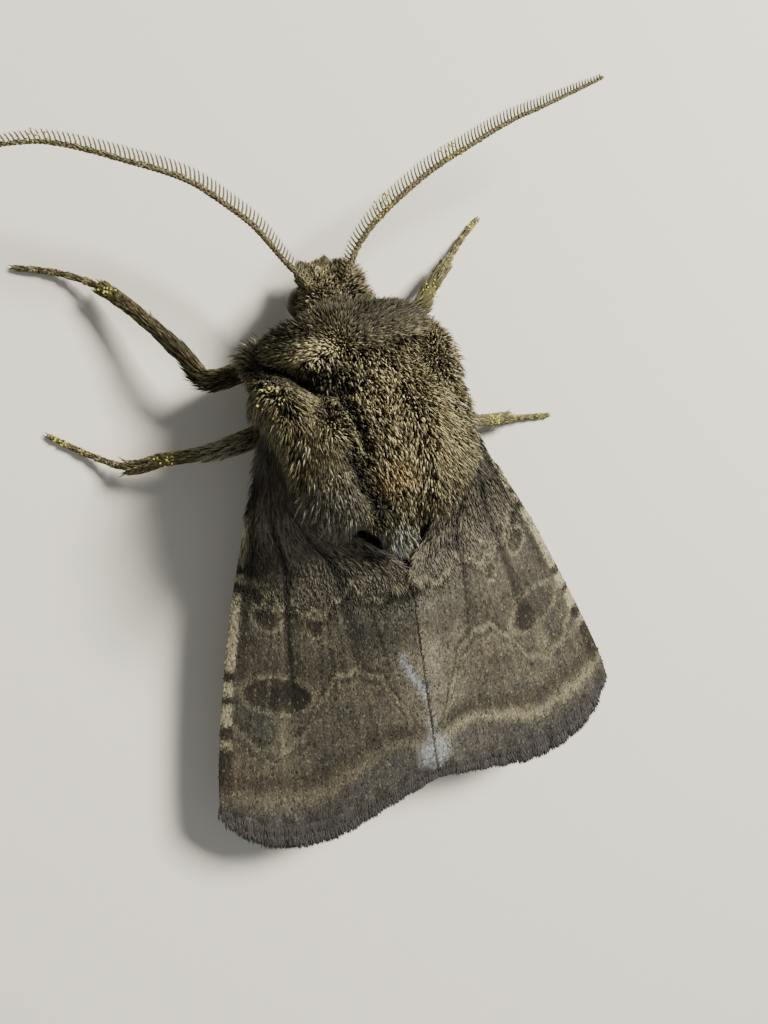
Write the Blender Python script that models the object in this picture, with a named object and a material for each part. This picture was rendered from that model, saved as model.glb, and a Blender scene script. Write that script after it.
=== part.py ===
# An owlet moth at rest, life size: a furry thorax with a keel, comb feelers, six legs spread on
# the floor and the wings folded back as a low roof. Sizes are in millimetres and the scene in
# metres. In the moth's own frame x runs to its left, y to its tail and z up from the floor.
import math

import bmesh
import bpy
from mathutils import Matrix, Vector
from mathutils.bvhtree import BVHTree

MM = 0.001
GAP = 0.1  # between neighbouring pieces

# Body, from the tip of the coat to the tip of the coat.
BODY_AXIS_Z = 3.0
HEAD_CENTRE = (-0.25, -3.1, 2.2)
HEAD_RADII = (1.25, 1.08, 1.1)
HEAD_BACK = -2.52
EYE_CENTRE = (0.85, -3.2, 1.95)  # from the middle of the head
EYE_RADIUS = 0.56
AROUND = 28  # points round a slice of the body

# Wings.
SHEET = 0.5  # thickness of a wing
ROOT_Y = -0.6
INNER_ROOT_Y = 0.4
APEX_Y = 13.5
TORNUS_Y = 14.7
TERMEN_BULGE = 1.55
APEX_ROUND = 0.3
# How far each wing is turned up about its inner margin.
RAISE = {"left": math.radians(4.3), "right": math.radians(8.5)}

# Limbs.
LIMB_RADIUS = 0.26
LIMB_SIDES = 8
FLOOR = 0.0

SIDES = {"left": 1, "right": -1}


def blend(x, points):
    """Smooth curve through (x, value) points, level beyond both ends."""
    if x <= points[0][0]:
        return points[0][1]
    if x >= points[-1][0]:
        return points[-1][1]
    slopes = []
    for i in range(len(points)):
        low, high = points[max(i - 1, 0)], points[min(i + 1, len(points) - 1)]
        slopes.append((high[1] - low[1]) / (high[0] - low[0]))
    for i in range(len(points) - 1):
        (x0, v0), (x1, v1) = points[i], points[i + 1]
        if x <= x1:
            width = x1 - x0
            t = (x - x0) / width
            ease = t * t * (3 - 2 * t)
            bend = t * (1 - t) * ((1 - t) * slopes[i] - t * slopes[i + 1]) * width
            return v0 + (v1 - v0) * ease + bend
    return points[-1][1]


def sign_power(value, power):
    """A power that keeps the sign, for slices between an ellipse and a box."""
    return math.copysign(abs(value) ** power, value)


# ---- materials and objects ----


def material(name, colour, roughness, metallic=0.0):
    made = bpy.data.materials.new(name)
    made.use_nodes = True
    shader = made.node_tree.nodes["Principled BSDF"]
    shader.inputs["Base Color"].default_value = (*colour, 1.0)
    shader.inputs["Roughness"].default_value = roughness
    shader.inputs["Metallic"].default_value = metallic
    made.diffuse_color = (*colour, 1.0)
    return made


def add_object(name, shape, finish, frame, collection):
    """Make the bmesh an object of the moth, with its size turned from millimetres to metres."""
    bmesh.ops.recalc_face_normals(shape, faces=shape.faces)
    bmesh.ops.scale(shape, vec=(MM, MM, MM), verts=shape.verts)
    mesh = bpy.data.meshes.new(name)
    shape.to_mesh(mesh)
    shape.free()
    mesh.shade_smooth()
    mesh.set_sharp_from_angle(angle=math.radians(50))
    made = bpy.data.objects.new(name, mesh)
    made.data.materials.append(finish)
    made.parent = frame
    collection.objects.link(made)
    return made


def loft(rings):
    """A closed skin through rings of points, with a flat face at each end."""
    shape = bmesh.new()
    loops = [[shape.verts.new(point) for point in ring] for ring in rings]
    for first, second in zip(loops, loops[1:]):
        for i in range(len(first)):
            j = (i + 1) % len(first)
            shape.faces.new((first[i], first[j], second[j], second[i]))
    shape.faces.new(loops[0][::-1])
    shape.faces.new(loops[-1])
    bmesh.ops.recalc_face_normals(shape, faces=shape.faces)
    return shape


def slab(over, under, rows, columns):
    """A closed sheet between two surfaces, each a function of (row, column) from 0 to 1."""
    shape = bmesh.new()
    sheets = []
    for surface in (over, under):
        sheets.append(
            [
                [shape.verts.new(surface(r / rows, c / columns)) for c in range(columns + 1)]
                for r in range(rows + 1)
            ]
        )
    for sheet in sheets:
        for r in range(rows):
            for c in range(columns):
                shape.faces.new((sheet[r][c], sheet[r + 1][c], sheet[r + 1][c + 1], sheet[r][c + 1]))
    top, bottom = sheets
    rim = [(0, c) for c in range(columns)] + [(r, columns) for r in range(rows)]
    rim += [(rows, c) for c in range(columns, 0, -1)] + [(r, 0) for r in range(rows, 0, -1)]
    for (r0, c0), (r1, c1) in zip(rim, rim[1:] + rim[:1]):
        shape.faces.new((top[r0][c0], top[r1][c1], bottom[r1][c1], bottom[r0][c0]))
    bmesh.ops.recalc_face_normals(shape, faces=shape.faces)
    return shape


# ---- the trunk: slices of one body, parted by thin leaning cuts ----

# Each row is the slice's place, how far its top leans to the tail, its half width, and the
# heights of its underside and back.
COLLAR_SLICES = (
    (-2.42, -0.30, 1.85, 2.35, 4.62),
    (-2.35, -0.24, 2.28, 2.28, 4.90),
    (-2.22, -0.10, 2.66, 2.20, 5.08),
    (-2.02, 0.10, 2.94, 2.10, 5.24),
    (-1.80, 0.30, 3.10, 2.00, 5.36),
)
THORAX_SLICES = (
    (-1.69, 0.30, 2.35, 1.20, 5.40),
    (-1.00, 0.30, 2.52, 1.14, 5.66),
    (0.00, 0.30, 2.62, 1.10, 5.95),
    (1.00, 0.32, 2.60, 1.10, 6.08),
    (2.00, 0.36, 2.42, 1.10, 6.08),
    (2.80, 0.42, 2.12, 1.12, 5.88),
    (3.40, 0.50, 1.72, 1.16, 5.46),
    (3.90, 0.60, 1.24, 1.22, 5.06),
    (4.12, 0.65, 0.86, 1.40, 4.76),
)
ABDOMEN_SLICES = (
    (4.26, 0.65, 1.60, 1.00, 3.80),
    (4.90, 0.50, 1.98, 0.80, 3.84),
    (6.00, 0.30, 2.05, 0.72, 3.66),
    (7.20, 0.12, 1.95, 0.70, 3.42),
    (8.60, 0.00, 1.72, 0.70, 3.06),
    (9.80, 0.00, 1.32, 0.76, 2.66),
    (10.60, 0.00, 0.86, 0.92, 2.24),
    (11.05, 0.00, 0.40, 1.14, 1.82),
)
TRUNK_SQUARENESS = 2.2
KEEL_SQUARENESS = 1.75  # the back of the thorax rises to a keel


def slice_at(place, slices):
    return [blend(place, [(row[0], row[i]) for row in slices]) for i in range(1, 5)]


def trunk_point(place, angle, slices, swell=0.0):
    """The point of a slice at an angle from its left side, up over its back."""
    lean, half_width, low, high = slice_at(place, slices)
    centre = low + 0.46 * (high - low)
    up = math.sin(angle) > 0
    squareness = KEEL_SQUARENESS if up and slices is THORAX_SLICES else TRUNK_SQUARENESS
    x = (half_width + swell) * sign_power(math.cos(angle), 2 / squareness)
    reach = (high - centre if up else centre - low) + swell
    z = centre + reach * sign_power(math.sin(angle), 2 / squareness)
    return Vector((x, place + lean * (z - BODY_AXIS_Z), z))


def trunk_piece(slices, count):
    first, last = slices[0][0], slices[-1][0]
    rings = []
    for i in range(count + 1):
        place = first + (last - first) * i / count
        rings.append(
            [trunk_point(place, 2 * math.pi * k / AROUND, slices) for k in range(AROUND)]
        )
    return loft(rings)


# ---- tegulae: the furry shoulder pads that lie over the wing roots ----

TEGULA_TOP = math.radians(72)
TEGULA_FRONT = -1.66
TEGULA_PAD = ((-1.7, 0.78), (-0.6, 1.14), (0.6, 1.42), (1.8, 1.55), (3.0, 1.35), (4.0, 1.0))
TEGULA_FOOT = ((-1.7, -24), (-1.1, -18), (-0.4, 22), (4.0, 26))  # lower edge, in degrees
TEGULA_BACK = ((0.0, 2.2), (0.3, 2.75), (0.6, 3.3), (0.85, 3.35), (1.0, 3.0))


def tegula_surface(side, outer):
    def surface(row, column):
        back = blend(column, TEGULA_BACK)
        place = TEGULA_FRONT + (back - TEGULA_FRONT) * row
        foot = math.radians(blend(place, TEGULA_FOOT))
        angle = foot + (TEGULA_TOP - foot) * column
        swell = GAP
        if outer:
            pad = blend(place, TEGULA_PAD)
            # Thinner towards the keel, and rounded off at its edges.
            pad *= 1 - 0.8 * column**1.3
            edge = min(row, 1 - row, column, 1 - column) / 0.22
            swell += pad * (0.6 + 0.4 * math.sin(min(edge, 1) * math.pi / 2))
        point = trunk_point(place, angle, THORAX_SLICES, swell)
        point.x *= side
        return point

    return surface


# ---- wings ----

# The inner margin follows the thorax and then runs beside the other wing's, as (y, x).
INNER_MARGIN = (
    (-0.3, 2.78), (1.5, 2.78), (3.0, 2.35), (4.0, 1.72), (4.8, 1.06), (5.3, 0.48), (5.9, 0.07),
)
RIDGE = ((0.0, 3.3), (2.6, 3.85), (4.6, 4.7), (6.2, 4.95))  # its height, as (y, z)
RIDGE_FALL = 0.25
COSTA_START = 2.97
COSTA_SLOPE = 0.37
COSTA_BOW = 0.24
COSTA_LOW = 1.24
COSTA_DROP = 2.1
COSTA_DROP_LENGTH = 6.5


def ridge_height(y):
    """Height of the inner margin, which climbs beside the thorax and falls to the tail."""
    return blend(y, RIDGE) - RIDGE_FALL * max(y - RIDGE[-1][0], 0.0)


def roof_point(along, across, raised):
    """A point on top of the left forewing: along from root to edge, across from inner margin."""
    costa_y = ROOT_Y + (APEX_Y - ROOT_Y) * along
    bow = math.sin(math.pi * min(max(costa_y / APEX_Y, 0.0), 1.0))
    costa_x = COSTA_START + COSTA_SLOPE * costa_y + COSTA_BOW * bow
    inner_y = INNER_ROOT_Y + (TORNUS_Y - INNER_ROOT_Y) * along
    inner_x = blend(inner_y, INNER_MARGIN)
    y = inner_y + (costa_y - inner_y) * across
    y += TERMEN_BULGE * along**5 * math.sin(math.pi * min(across, 1.0) ** 1.5) ** 0.85
    x = inner_x + (costa_x - inner_x) * across
    # The corners of the wing are rounded off.
    x -= APEX_ROUND * along**16 * across**8
    y -= APEX_ROUND * along**16 * (across**12 * 0.4 + (1 - across) ** 8 * 0.6)
    costa_z = COSTA_LOW + COSTA_DROP * math.exp(-(y + 0.3) / COSTA_DROP_LENGTH)
    ridge_z = ridge_height(y)
    z = ridge_z + (costa_z - ridge_z) * (0.8 * across + 0.2 * across**2)
    turn_x, turn_z = math.cos(raised), math.sin(raised)
    rise = z - ridge_z
    return Vector((x * turn_x - rise * turn_z, y, ridge_z + x * turn_z + rise * turn_x))


def wing_surface(side, drop):
    """The surface of a forewing, a distance under the top of the roof."""

    def surface(row, column):
        point = roof_point(row, column, RAISE[side])
        return Vector((point.x * SIDES[side], point.y, point.z - drop))

    return surface


HINDWING_DROP = SHEET + 0.14
HINDWING_ROOT = 0.1
HINDWING_END = 0.8
HINDWING_OUTER = 0.86


def hindwing_surface(side, drop):
    """The hindwing lies folded under the forewing, its rounded end short of the wing's edge."""

    def surface(row, column):
        inner = 0.35 - 0.09 * row
        across = inner + (HINDWING_OUTER - inner) * column
        end = HINDWING_END + 0.07 * math.sin(math.pi * column)
        along = HINDWING_ROOT + (end - HINDWING_ROOT) * row
        point = roof_point(along, across, RAISE[side])
        return Vector((point.x * SIDES[side], point.y, point.z - drop))

    return surface


# ---- limbs ----


def is_inside(tree, point):
    """A ray from inside a closed skin crosses it an odd number of times."""
    direction = Vector((0.12, 0.07, 1.0)).normalized()
    crossings = 0
    hit, _, _, _ = tree.ray_cast(point, direction)
    while hit:
        crossings += 1
        hit, _, _, _ = tree.ray_cast(hit + direction * 1e-4, direction)
    return crossings % 2 == 1


def clear_of(point, radius, bodies):
    """Push a limb's middle point out until the limb lies a gap away from each body."""
    for tree in bodies:
        nearest, normal, _, distance = tree.find_nearest(point)
        if is_inside(tree, point):
            point = nearest + normal * (radius + GAP)
        elif distance < radius + GAP:
            point = nearest + (point - nearest).normalized() * (radius + GAP)
    return point


def limb(route, radii, steps, bodies):
    """A round limb along a smooth route of (x, y, z), with its own radius at each route point."""
    spans = [0.0]
    for a, b in zip(route, route[1:]):
        spans.append(spans[-1] + (Vector(b) - Vector(a)).length)
    middle = []
    for i in range(steps + 1):
        distance = spans[-1] * i / steps
        axes = [list(zip(spans, [point[axis] for point in route])) for axis in range(3)]
        radius = blend(distance, list(zip(spans, radii)))
        point = clear_of(Vector([blend(distance, axis) for axis in axes]), radius, bodies)
        middle.append((point, radius))
    rings = []
    for i, (point, radius) in enumerate(middle):
        forward = (middle[min(i + 1, steps)][0] - middle[max(i - 1, 0)][0]).normalized()
        side = forward.cross(Vector((0, 0, 1))).normalized()
        up = side.cross(forward)
        angles = [2 * math.pi * (k + 0.5) / LIMB_SIDES for k in range(LIMB_SIDES)]
        rings.append([point + radius * (side * math.cos(a) + up * math.sin(a)) for a in angles])
    return rings


def rest_on_floor(rings):
    for ring in rings:
        for point in ring:
            point.z = max(point.z, FLOOR)
    return rings


# Route of each leg from the trunk over the knee to the foot, and of each feeler to its tip.
LEGS = {
    "foreleg_left": (
        (1.7, -2.0, 1.1), (3.0, -1.5, 1.3), (4.2, -1.5, 1.75), (4.75, -2.35, 1.85),
        (5.5, -3.6, 1.4), (6.55, -4.98, 0.75), (7.67, -5.75, 0.3), (8.92, -6.17, 0.22),
    ),
    "foreleg_right": (
        (-1.5, -2.3, 1.1), (-2.5, -2.1, 1.35), (-3.4, -2.2, 1.6), (-4.25, -2.8, 1.2),
        (-5.64, -3.84, 0.6), (-6.5, -4.5, 0.26), (-7.2, -5.02, 0.22),
    ),
    "midleg_left": (
        (2.2, 0.3, 1.3), (3.4, 0.7, 1.75), (4.65, 0.8, 1.9), (6.2, 0.7, 1.4),
        (7.34, 0.7, 0.8), (8.44, 0.03, 0.34), (9.45, -0.86, 0.22),
    ),
    "midleg_right": (
        (-2.2, 0.9, 1.3), (-3.3, 1.5, 1.75), (-4.5, 2.0, 1.75), (-5.5, 2.25, 1.2),
        (-6.6, 2.45, 0.66), (-7.6, 2.65, 0.28), (-8.72, 2.85, 0.22),
    ),
    "hindleg_left": (
        (1.75, 3.0, 1.0), (2.7, 3.7, 1.15), (3.7, 4.7, 1.25), (4.2, 6.0, 1.0),
        (4.6, 7.4, 0.6), (4.85, 8.6, 0.28), (5.0, 9.8, 0.22),
    ),
    "hindleg_right": (
        (-1.75, 3.0, 1.15), (-2.8, 3.8, 1.35), (-3.9, 4.9, 1.5), (-4.6, 6.1, 1.15),
        (-5.2, 7.3, 0.65), (-5.7, 8.3, 0.28), (-6.1, 9.4, 0.22),
    ),
}
FEELERS = {
    "antenna_left": (
        (0.62, -3.62, 3.2), (1.13, -4.4, 3.2), (1.86, -5.53, 3.4), (2.47, -6.18, 3.5),
        (3.46, -7.01, 3.7), (4.72, -7.63, 3.8), (6.88, -8.53, 3.7), (8.13, -8.67, 3.6),
        (9.8, -8.7, 3.4),
    ),
    "antenna_right": (
        (-0.72, -3.7, 3.2), (-1.45, -4.62, 3.2), (-2.38, -5.33, 3.4), (-4.05, -6.23, 3.7),
        (-5.57, -6.79, 3.8), (-7.16, -7.33, 3.8), (-8.56, -7.66, 3.8), (-11.1, -8.34, 3.6),
    ),
}
PALP = ((0.3, -3.6, 1.1), (0.36, -3.95, 0.95), (0.42, -4.3, 1.1), (0.44, -4.55, 1.45))
PALP_RADII = (0.3, 0.36, 0.33, 0.25)


def leg_rings(route, bodies):
    """Femur and shin are thick with scales, and the foot is slim and flat underneath."""
    count = len(route)
    swell = [math.sin(math.pi * min(i / (count - 3), 1.0)) for i in range(count)]
    radii = [LIMB_RADIUS + 0.14 * amount for amount in swell]
    return rest_on_floor(limb(route, radii, 13, bodies))


# ---- the whole moth ----


def clear_scene():
    for thing in list(bpy.data.objects):
        bpy.data.objects.remove(thing, do_unlink=True)


def ball(centre, radii, segments, rings):
    shape = bmesh.new()
    bmesh.ops.create_uvsphere(shape, u_segments=segments, v_segments=rings, radius=1.0)
    bmesh.ops.transform(
        shape, matrix=Matrix.LocRotScale(Vector(centre), None, Vector(radii)), verts=shape.verts
    )
    return shape


def head_shape():
    """A rounded head with a flat back, its brow drawn forward between the eyes."""
    shape = ball(HEAD_CENTRE, HEAD_RADII, 24, 14)
    for vert in shape.verts:
        brow = math.exp(-(((vert.co.x - HEAD_CENTRE[0]) / 0.7) ** 2)) * max(0.0, HEAD_CENTRE[1] - vert.co.y)
        vert.co.y -= 0.12 * brow
        back = HEAD_BACK + COLLAR_SLICES[0][1] * (vert.co.z - BODY_AXIS_Z)
        vert.co.y = min(vert.co.y, back)
    return shape


def carve_eyes(head, frame, cutters):
    """Cut the sockets, with the gap, out of the head."""
    for side, sign in SIDES.items():
        centre = (HEAD_CENTRE[0] + EYE_CENTRE[0] * sign, EYE_CENTRE[1], EYE_CENTRE[2])
        shape = ball(centre, [EYE_RADIUS + GAP] * 3, 16, 10)
        socket = add_object(f"socket_{side}", shape, head.data.materials[0], frame, cutters)
        socket.hide_render = True
        socket.display_type = "WIRE"
        cut = head.modifiers.new(f"socket_{side}", "BOOLEAN")
        cut.operation = "DIFFERENCE"
        cut.solver = "EXACT"
        cut.object = socket


def build_moth():
    clear_scene()
    moth = bpy.data.collections.new("owlet_moth")
    cutters = bpy.data.collections.new("cutters")
    for collection in (moth, cutters):
        bpy.context.scene.collection.children.link(collection)
    frame = bpy.data.objects.new("moth_frame", None)
    moth.objects.link(frame)

    coat = material("coat", (0.135, 0.105, 0.075), 0.85)
    wing = material("wing_scales", (0.16, 0.135, 0.105), 0.75)
    hind = material("hindwing_scales", (0.30, 0.27, 0.22), 0.7)
    eye = material("eye", (0.02, 0.015, 0.012), 0.2)
    horn = material("leg_scales", (0.12, 0.095, 0.06), 0.7)

    head = head_shape()
    collar = trunk_piece(COLLAR_SLICES, 5)
    thorax = trunk_piece(THORAX_SLICES, 13)
    abdomen = trunk_piece(ABDOMEN_SLICES, 13)

    trunk = [BVHTree.FromBMesh(body) for body in (head, collar, thorax, abdomen)]
    for name, route in LEGS.items():
        add_object(name, loft(leg_rings(route, trunk)), horn, frame, moth)
    for name, route in FEELERS.items():
        radii = [0.3] * (len(route) - 2) + [0.28, 0.25]
        add_object(name, loft(limb(route, radii, 20, trunk)), horn, frame, moth)
    for side, sign in SIDES.items():
        route = [(HEAD_CENTRE[0] + x * sign, y, z) for x, y, z in PALP]
        add_object(f"palp_{side}", loft(limb(route, PALP_RADII, 6, trunk)), coat, frame, moth)
        centre = (HEAD_CENTRE[0] + EYE_CENTRE[0] * sign, EYE_CENTRE[1], EYE_CENTRE[2])
        add_object(f"eye_{side}", ball(centre, [EYE_RADIUS] * 3, 16, 10), eye, frame, moth)
        pad = slab(tegula_surface(sign, True), tegula_surface(sign, False), 11, 11)
        add_object(f"tegula_{side}", pad, coat, frame, moth)
        blade = slab(wing_surface(side, 0.0), wing_surface(side, SHEET), 18, 10)
        add_object(f"forewing_{side}", blade, wing, frame, moth)
        under = slab(
            hindwing_surface(side, HINDWING_DROP), hindwing_surface(side, HINDWING_DROP + SHEET), 12, 7
        )
        add_object(f"hindwing_{side}", under, hind, frame, moth)

    head_object = add_object("head", head, coat, frame, moth)
    carve_eyes(head_object, frame, cutters)
    add_object("collar", collar, coat, frame, moth)
    add_object("thorax", thorax, coat, frame, moth)
    add_object("abdomen", abdomen, coat, frame, moth)
    return frame, moth


def stand_at_origin(frame, moth):
    """Move the moth so that the middle of its footprint is the origin, with its feet at z = 0."""
    corners = [
        vert.co for thing in moth.objects if thing.type == "MESH" for vert in thing.data.vertices
    ]
    low = Vector([min(corner[i] for corner in corners) for i in range(3)])
    high = Vector([max(corner[i] for corner in corners) for i in range(3)])
    frame.location = (-(low.x + high.x) / 2, -(low.y + high.y) / 2, -low.z)


moth_frame, moth_parts = build_moth()
stand_at_origin(moth_frame, moth_parts)
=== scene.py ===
import math

import bpy
import numpy as np
from mathutils import Matrix, Vector
from mathutils.bvhtree import BVHTree
from mathutils.kdtree import KDTree


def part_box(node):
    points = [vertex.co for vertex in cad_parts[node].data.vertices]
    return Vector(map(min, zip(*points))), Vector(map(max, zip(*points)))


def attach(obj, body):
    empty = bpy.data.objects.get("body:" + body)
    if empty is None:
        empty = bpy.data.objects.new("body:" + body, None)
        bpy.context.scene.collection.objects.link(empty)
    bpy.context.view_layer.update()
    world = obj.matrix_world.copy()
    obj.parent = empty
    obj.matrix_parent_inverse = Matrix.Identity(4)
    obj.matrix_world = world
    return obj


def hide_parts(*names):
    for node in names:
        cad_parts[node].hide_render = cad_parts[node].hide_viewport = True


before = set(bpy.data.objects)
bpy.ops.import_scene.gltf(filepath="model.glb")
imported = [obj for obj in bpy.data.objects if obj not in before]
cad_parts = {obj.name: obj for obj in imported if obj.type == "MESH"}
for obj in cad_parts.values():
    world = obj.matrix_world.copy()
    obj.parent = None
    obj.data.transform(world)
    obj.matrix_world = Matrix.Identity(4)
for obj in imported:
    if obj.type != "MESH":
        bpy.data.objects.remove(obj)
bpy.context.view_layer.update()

# Lengths are in mm in the moth's own frame: x to its left, y to its tail, z up from the floor.
mm = 0.001
headX = -0.25  # the head is turned a little to the right
eyeSpot = np.array((0.60, -3.2, 1.95))  # centre of the left eye
eyeLow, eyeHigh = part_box("eye_left")
frameOrigin = (np.array(eyeLow) + np.array(eyeHigh)) / 2 - eyeSpot * mm
chance = np.random.default_rng(11)
sides = {"Left": 1, "Right": -1}


def toScene(points):
    return np.asarray(points) * mm + frameOrigin


def unit(vectors):
    return vectors / np.maximum(np.linalg.norm(vectors, axis=-1, keepdims=True), 1e-9)


def mix(a, b, amount):
    amount = np.asarray(amount)
    return a + (b - a) * (amount[..., None] if np.ndim(a) > np.ndim(amount) else amount)


def step(low, high, value):
    t = np.clip((value - low) / (high - low), 0, 1)
    return t * t * (3 - 2 * t)


def between(value, start, full, last, gone):  # rises from 0 to 1 and falls back to 0
    return step(start, full, value) * step(gone, last, value)


def near(value, centre, width):
    return np.exp(-(((value - centre) / width) ** 2))


# A smooth curve through (x, value) points, level beyond both ends; it takes arrays.
def curve(x, points):
    x = np.asarray(x, float)
    spots = np.array(points, float)
    px, values = spots[:, 0], spots[:, 1]
    low, high = np.maximum(np.arange(len(px)) - 1, 0), np.minimum(np.arange(len(px)) + 1, len(px) - 1)
    slopes = (values[high] - values[low]) / (px[high] - px[low])
    x = np.clip(x, px[0], px[-1])
    i = np.clip(np.searchsorted(px, x, side="left") - 1, 0, len(px) - 2)
    span = px[i + 1] - px[i]
    t = (x - px[i]) / span
    bend = t * (1 - t) * ((1 - t) * slopes[i] - t * slopes[i + 1]) * span
    return values[i] + (values[i + 1] - values[i]) * t * t * (3 - 2 * t) + bend


# Smooth random bumps from -1 to 1, one for each stretch of this size.
def bumps(points, size, seed=0):
    cell = np.asarray(points) / size + 31.7 * (seed + 1)
    corner = np.floor(cell).astype(np.int64)
    inside = cell - corner
    inside = inside * inside * (3 - 2 * inside)
    total = 0.0
    for dx in (0, 1):
        for dy in (0, 1):
            for dz in (0, 1):
                spot = corner + (dx, dy, dz)
                key = (spot[..., 0] * 73856093) ^ (spot[..., 1] * 19349663) ^ (spot[..., 2] * 83492791)
                key = ((key ^ (key >> 13)) * 1274126177) & 0x7FFFFFFF
                value = ((key ^ (key >> 15)) & 0xFFFF) / 0xFFFF * 2 - 1
                weight = np.ones_like(value)
                for axis, far in enumerate((dx, dy, dz)):
                    weight = weight * (inside[..., axis] if far else 1 - inside[..., axis])
                total = total + value * weight
    return total


def addObject(name, data):
    thing = bpy.data.objects.new(name, data)
    bpy.context.scene.collection.objects.link(thing)
    return thing


seats = []  # tips of hair that pollen can rest on


def makePiece(name, points, faces, finish, tone=None, bake=None, smooth=True):
    faces = np.asarray(faces, np.int32)
    mesh = bpy.data.meshes.new(name)
    mesh.vertices.add(len(points))
    mesh.vertices.foreach_set("co", toScene(points).astype(np.float32).ravel())
    mesh.loops.add(faces.size)
    mesh.loops.foreach_set("vertex_index", faces.ravel())
    mesh.polygons.add(len(faces))
    mesh.polygons.foreach_set("loop_start", np.arange(0, faces.size, faces.shape[1], dtype=np.int32))
    mesh.polygons.foreach_set("use_smooth", np.full(len(faces), smooth))
    mesh.update(calc_edges=True)
    if tone is not None:  # the colour of each point
        attribute = mesh.color_attributes.new("scaleTone", "FLOAT_COLOR", "POINT")
        rgba = np.ones((len(points), 4), np.float32)
        rgba[:, :3] = np.clip(tone, 0, 1)
        attribute.data.foreach_set("color", rgba.ravel())
    if bake is not None:  # the place of each point on the unwrap of the skin
        layer = mesh.uv_layers.new(name="OFBake")
        layer.data.foreach_set("uv", bake[faces.ravel()].astype(np.float32).ravel())
    mesh.materials.append(finish)
    piece = addObject(name, mesh)
    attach(piece, "root")
    return piece


def joined(parts):
    points, faces, count = [], [], 0
    for p, f in parts:
        points.append(p)
        faces.append(np.asarray(f) + count)
        count += len(p)
    return np.concatenate(points), np.concatenate(faces)


# Quads of a grid of points, rows by columns, closed round the columns if it is a tube.
def gridFaces(rows, columns, closed=False):
    r, c = np.meshgrid(np.arange(rows - 1), np.arange(columns if closed else columns - 1), indexing="ij")
    r, c = r.ravel(), c.ravel()
    d = (c + 1) % columns
    return np.stack((r * columns + c, r * columns + d, (r + 1) * columns + d, (r + 1) * columns + c), 1)


def axesOf(line, upHint=(0.0, 0.0, 1.0)):  # the way along a line of points, across it and up from it
    along = unit(np.gradient(line, axis=0))
    across = unit(np.cross(along, upHint))
    return along, across, np.cross(across, along)


tubeEnd = 0.6  # how far the closed end of a tube stands out, in radii


# A tube along centre points, with radii, closed at both ends by a point.
def tube(centres, radii, around, upHint=(0.0, 0.0, 1.0)):
    along, side, up = axesOf(centres, upHint)
    angle = np.arange(around) * 2 * math.pi / around
    ring = side[:, None] * np.cos(angle)[None, :, None] + up[:, None] * np.sin(angle)[None, :, None]
    points = (centres[:, None] + ring * radii[:, None, None]).reshape(-1, 3)
    faces = [gridFaces(len(centres), around, closed=True)]
    k = np.arange(around)
    for row, back in ((0, 1), (len(centres) - 1, -1)):
        points = np.vstack((points, centres[row] - along[row] * radii[row] * tubeEnd * back))
        a, b = row * around + k, row * around + (k + 1) % around
        tip = np.full(around, len(points) - 1)
        faces.append(np.stack((tip, b, a, a) if back > 0 else (tip, a, b, b), 1))
    return points, np.concatenate(faces)


# The faces of a sheet with a top and a bottom, closed round its edge.
def sheetFaces(rows, columns, side):
    grid = gridFaces(rows, columns)
    under = rows * columns
    edge = np.concatenate((np.arange(columns), np.arange(1, rows) * columns + columns - 1,
                           (rows - 1) * columns + np.arange(columns - 2, -1, -1),
                           np.arange(rows - 2, 0, -1) * columns))
    after = np.roll(edge, -1)
    walls = np.stack((edge, edge + under, after + under, after), 1)
    faces = np.concatenate((grid[:, ::-1], grid + under, walls[:, ::-1]))
    return faces if sides[side] > 0 else faces[:, ::-1]


# A tuft is a closed slim spindle: its root, three points round its bend, and its tip.
tuftFaces = np.array(((0, 2, 1), (0, 3, 2), (0, 1, 3), (4, 1, 2), (4, 2, 3), (4, 3, 1)))
tuftPatch = np.array(((0.5, 0), (0, 0.5), (1, 0.5), (0.5, 0.62), (0.5, 1)))
tuftBlend = np.array((0, 0.45, 0.45, 0.6, 1.0))[None, :, None]  # from root tone to tip tone at each point
tuftTwist = 0.45
patchSize = 0.003


def outward(points, faces):  # turns the faces so that each closed tuft faces out
    tri = points[:, faces]
    volume = np.einsum("nfi,nfi->n", tri[:, :, 0], np.cross(tri[:, :, 1], tri[:, :, 2]))
    count = points.shape[1]
    index = np.arange(len(points))[:, None, None] * count + faces[None]
    index[volume < 0] = index[volume < 0][:, :, ::-1]
    return index.reshape(-1, 3)


def spread(place):  # keeps a piece's places on the unwrap within 0 to 1, and fills it
    low, high = place.min(0), place.max(0)
    return 0.02 + 0.95 * (place - low) / (high - low)


def bakeMap(place, patch):
    return (spread(place)[:, None] + patchSize * patch[None]).reshape(-1, 2)


# Each tuft runs from its root past a bend to its tip; belly is where along it is widest.
def growHair(name, hair, finish, belly=0.5, flat=0.35):
    root, bend, tip, width = (hair[key] for key in ("root", "bend", "tip", "width"))
    middle = (1 - belly) ** 2 * root + 2 * belly * (1 - belly) * bend + belly**2 * tip
    lie, rise = unit(tip - root), unit(bend - root)
    side = unit(np.cross(lie, rise) + 1e-4)
    twist = chance.normal(0, tuftTwist, (len(root), 1))
    turned = side * np.cos(twist) + np.cross(side, lie) * np.sin(twist)
    up = np.cross(turned, lie)
    up = up * np.sign((up * rise).sum(1, keepdims=True) + 1e-6)
    half = turned * width[:, None] / 2
    points = np.stack((root, middle - half, middle + half, middle + up * width[:, None] * flat * 2, tip), 1)
    faces = outward(points - points.mean(1, keepdims=True), tuftFaces)
    seats.append(tip)
    points = points.reshape(-1, 3)
    points[:, 2] = np.maximum(points[:, 2], 0.0)  # the coat lies on the floor, not in it
    tone = hair["rootTone"][:, None] * (1 - tuftBlend) + hair["tipTone"][:, None] * tuftBlend
    bake = bakeMap(hair["place"], tuftPatch)
    return makePiece(name, points, faces, finish, tone.reshape(-1, 3), bake)


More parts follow.
